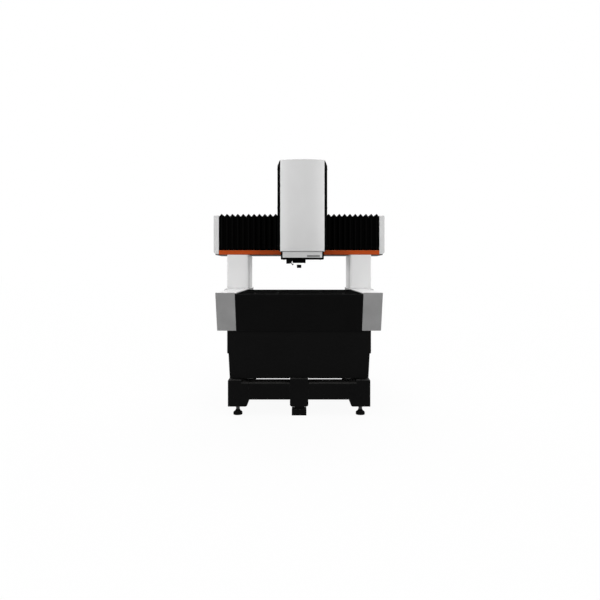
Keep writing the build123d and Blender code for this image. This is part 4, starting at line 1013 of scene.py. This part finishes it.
beam_low, beam_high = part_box("beam")
cap_low, cap_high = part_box("beam_end_caps")
column_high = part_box("columns")[1]
gap = 0.002
sheet_thickness = 0.0025
cap_chamfer = 0.016
column_inner_x = 0.418
sheet_z = beam_low.z - sheet_thickness
cap_flat_x = cap_high.x - cap_chamfer
beam_end_x = beam_high.x + 0.0005
column_side_x = column_high.x + gap
right_end = [
    (column_side_x, sheet_z), (cap_flat_x, sheet_z), (cap_flat_x, cap_low.z),
    (beam_end_x, cap_low.z), (beam_end_x, beam_low.z), (column_side_x, beam_low.z),
]
left_end = [(-x, z) for x, z in right_end]
half_span = column_inner_x - gap
middle = rectangle((-half_span, half_span), (sheet_z, beam_low.z))
sheet_ends = (cap_low.y + gap, cap_high.y - gap)
sheets = [(outline, sheet_ends) for outline in (right_end, left_end, middle)]
# The sheets' dark grey paint stands in for the shade under the beam.
underside_shade_paint = paint("underside_shade_paint", grey(0.045), grey(0.08), 0.6, 0.1)
pushed("beam_shade_sheets", sheets, underside_shade_paint, "bridge", "black_paint")
print(len(sheets), "sheets under the beam")

# %% [markdown]
# ## Lips and a foot
# Rubber lips under the bed and on the stand's rails leave only a thin slit of light between the two.
# A small foot beside the probe block takes the screws that hold it to the shroud. They are outlines
# pushed along y too.

# %% Push the lips and the foot
bed_low, bed_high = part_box("machine_bed")
stand_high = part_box("stand_rails")[1]
lip_x = (0.066, 0.385)
lip_wall = 0.006
bed_lip_y = bed_high.y - 0.0015
stand_lip_y = stand_high.y - 0.138
under_bed = (bed_low.z - 0.0032, bed_low.z)
on_stand = (stand_high.z, stand_high.z + 0.003)
lip_places = (under_bed, bed_lip_y), (on_stand, stand_lip_y)
lips = [
    (rectangle([hand * x for x in lip_x], levels), (facing * y, facing * (y + lip_wall)))
    for hand in (-1, 1) for facing in (-1, 1) for levels, y in lip_places
]
pushed("bed_lips", lips, foot_rubber, "base", "rubber")

block_low, block_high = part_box("probe_block")
foot_width, foot_height, foot_overlap = 0.0095, 0.015, 0.001
foot_x = (block_high.x - foot_overlap, block_high.x + foot_width)
foot_outline = rectangle(foot_x, (block_high.z - foot_height, block_high.z))
foot_ends = (block_low.y + 0.008, block_high.y - 0.002)
pushed("probe_foot", [(foot_outline, foot_ends)], black_anodised, "head", "black_anodised")
print(len(lips), "lips between the bed and the stand, and a foot beside the probe")

# %% [markdown]
# ## Light
# A wide sun from above lights the tops. A low pair in front lights the faces evenly, a lower pair at
# the sides lifts the round edges of the head and the columns, a pair behind serves the other views,
# and the world fills the rest. The world shows white to the camera and in reflections.

# %% Set up the light
def white_to_view(tree, share):
    """A share for the rays that show the background, and zero for light that falls on things."""
    rays = add(tree, "ShaderNodeLightPath").outputs
    seen = reckon(tree, "MAXIMUM", rays["Is Camera Ray"], rays["Is Glossy Ray"])
    seen = reckon(tree, "MAXIMUM", seen, rays["Is Transmission Ray"])
    return reckon(tree, "MULTIPLY", seen, share)


def sun(name, azimuth, elevation, strength, spread):
    """A soft, even light from a direction; azimuth 0 is the camera's side."""
    lamp = bpy.data.lights.new(name, "SUN")
    lamp.energy = strength
    lamp.angle = radians(spread)
    holder = bpy.data.objects.new(name, lamp)
    a, e = radians(azimuth), radians(elevation)
    towards = Vector((sin(a) * cos(e), -cos(a) * cos(e), sin(e)))
    holder.rotation_euler = towards.to_track_quat("Z", "Y").to_euler()
    bpy.context.scene.collection.objects.link(holder)


ambient = 0.30
world = bpy.data.worlds.new("studio")
bpy.context.scene.world = world
world.use_nodes = True
sky = world.node_tree.nodes["Background"]
sky.inputs["Color"].default_value = grey(1.0)
strength = reckon(world.node_tree, "ADD", white_to_view(world.node_tree, 1 - ambient), ambient)
world.node_tree.links.new(strength, sky.inputs["Strength"])
sun("top_light", azimuth=0, elevation=70, strength=1.2, spread=60)
for hand in (-1, 1):
    sun("front_light", azimuth=42 * hand, elevation=8, strength=0.815, spread=14)
    sun("side_light", azimuth=66 * hand, elevation=4, strength=0.55, spread=12)
    sun("rear_light", azimuth=160 * hand, elevation=35, strength=0.9, spread=40)
print(len(bpy.data.lights), "lamps and an ambient light of", ambient)

# %% [markdown]
# ## Floor
# The floor is pale, and nearly all of what the camera sees of it is plain white, as the world is. The
# small rest is a matt shader, so the floor keeps a trace of the machine's shadow.

# %% Lay the floor
floor_half_size = 60.0
floor_drop = 0.0005
white_share = 0.94
floor_mesh = bpy.data.meshes.new("floor")
floor_shape = bmesh.new()
bmesh.ops.create_grid(floor_shape, x_segments=8, y_segments=8, size=floor_half_size)
floor_shape.to_mesh(floor_mesh)
floor_shape.free()
floor = bpy.data.objects.new("floor", floor_mesh)
floor.location.z = -floor_drop
bpy.context.scene.collection.objects.link(floor)
floor_finish, floor_tree, floor_shader = new_finish("floor", roughness=0.9, specular_ior_level=0.0)
floor_shader.inputs["Base Color"].default_value = grey(0.9)
glow = add(floor_tree, "ShaderNodeEmission", {"Color": grey(1.0), "Strength": 1.0}).outputs[0]
shares = {0: white_to_view(floor_tree, white_share), 1: floor_shader.outputs[0], 2: glow}
mixed = add(floor_tree, "ShaderNodeMixShader", shares).outputs[0]
floor_tree.links.new(mixed, floor_tree.nodes["Material Output"].inputs["Surface"])
floor_mesh.materials.append(floor_finish)
print("The floor reaches", floor_half_size, "m each way")

# %% [markdown]
# ## Camera
# The photograph shows the machine straight from the front, from a little above the table, so the
# camera looks along y without a tilt. A small shift of the lens puts the machine where it is in the
# picture and keeps upright edges upright.

# %% Place the camera
eye_distance = 4.34
eye_height = 0.973
eye = bpy.data.cameras.new("viewpoint")
eye.sensor_width = 36.0
eye.lens = 32.727
eye.shift_x = 0.0015
eye.shift_y = -0.0467
viewpoint = bpy.data.objects.new("viewpoint", eye)
viewpoint.location = (0.0, -eye_distance, eye_height)
viewpoint.rotation_euler = (pi / 2, 0.0, 0.0)
bpy.context.scene.collection.objects.link(viewpoint)
bpy.context.scene.camera = viewpoint
bpy.context.scene.view_settings.view_transform = "Standard"
print("The camera stands at", tuple(viewpoint.location))
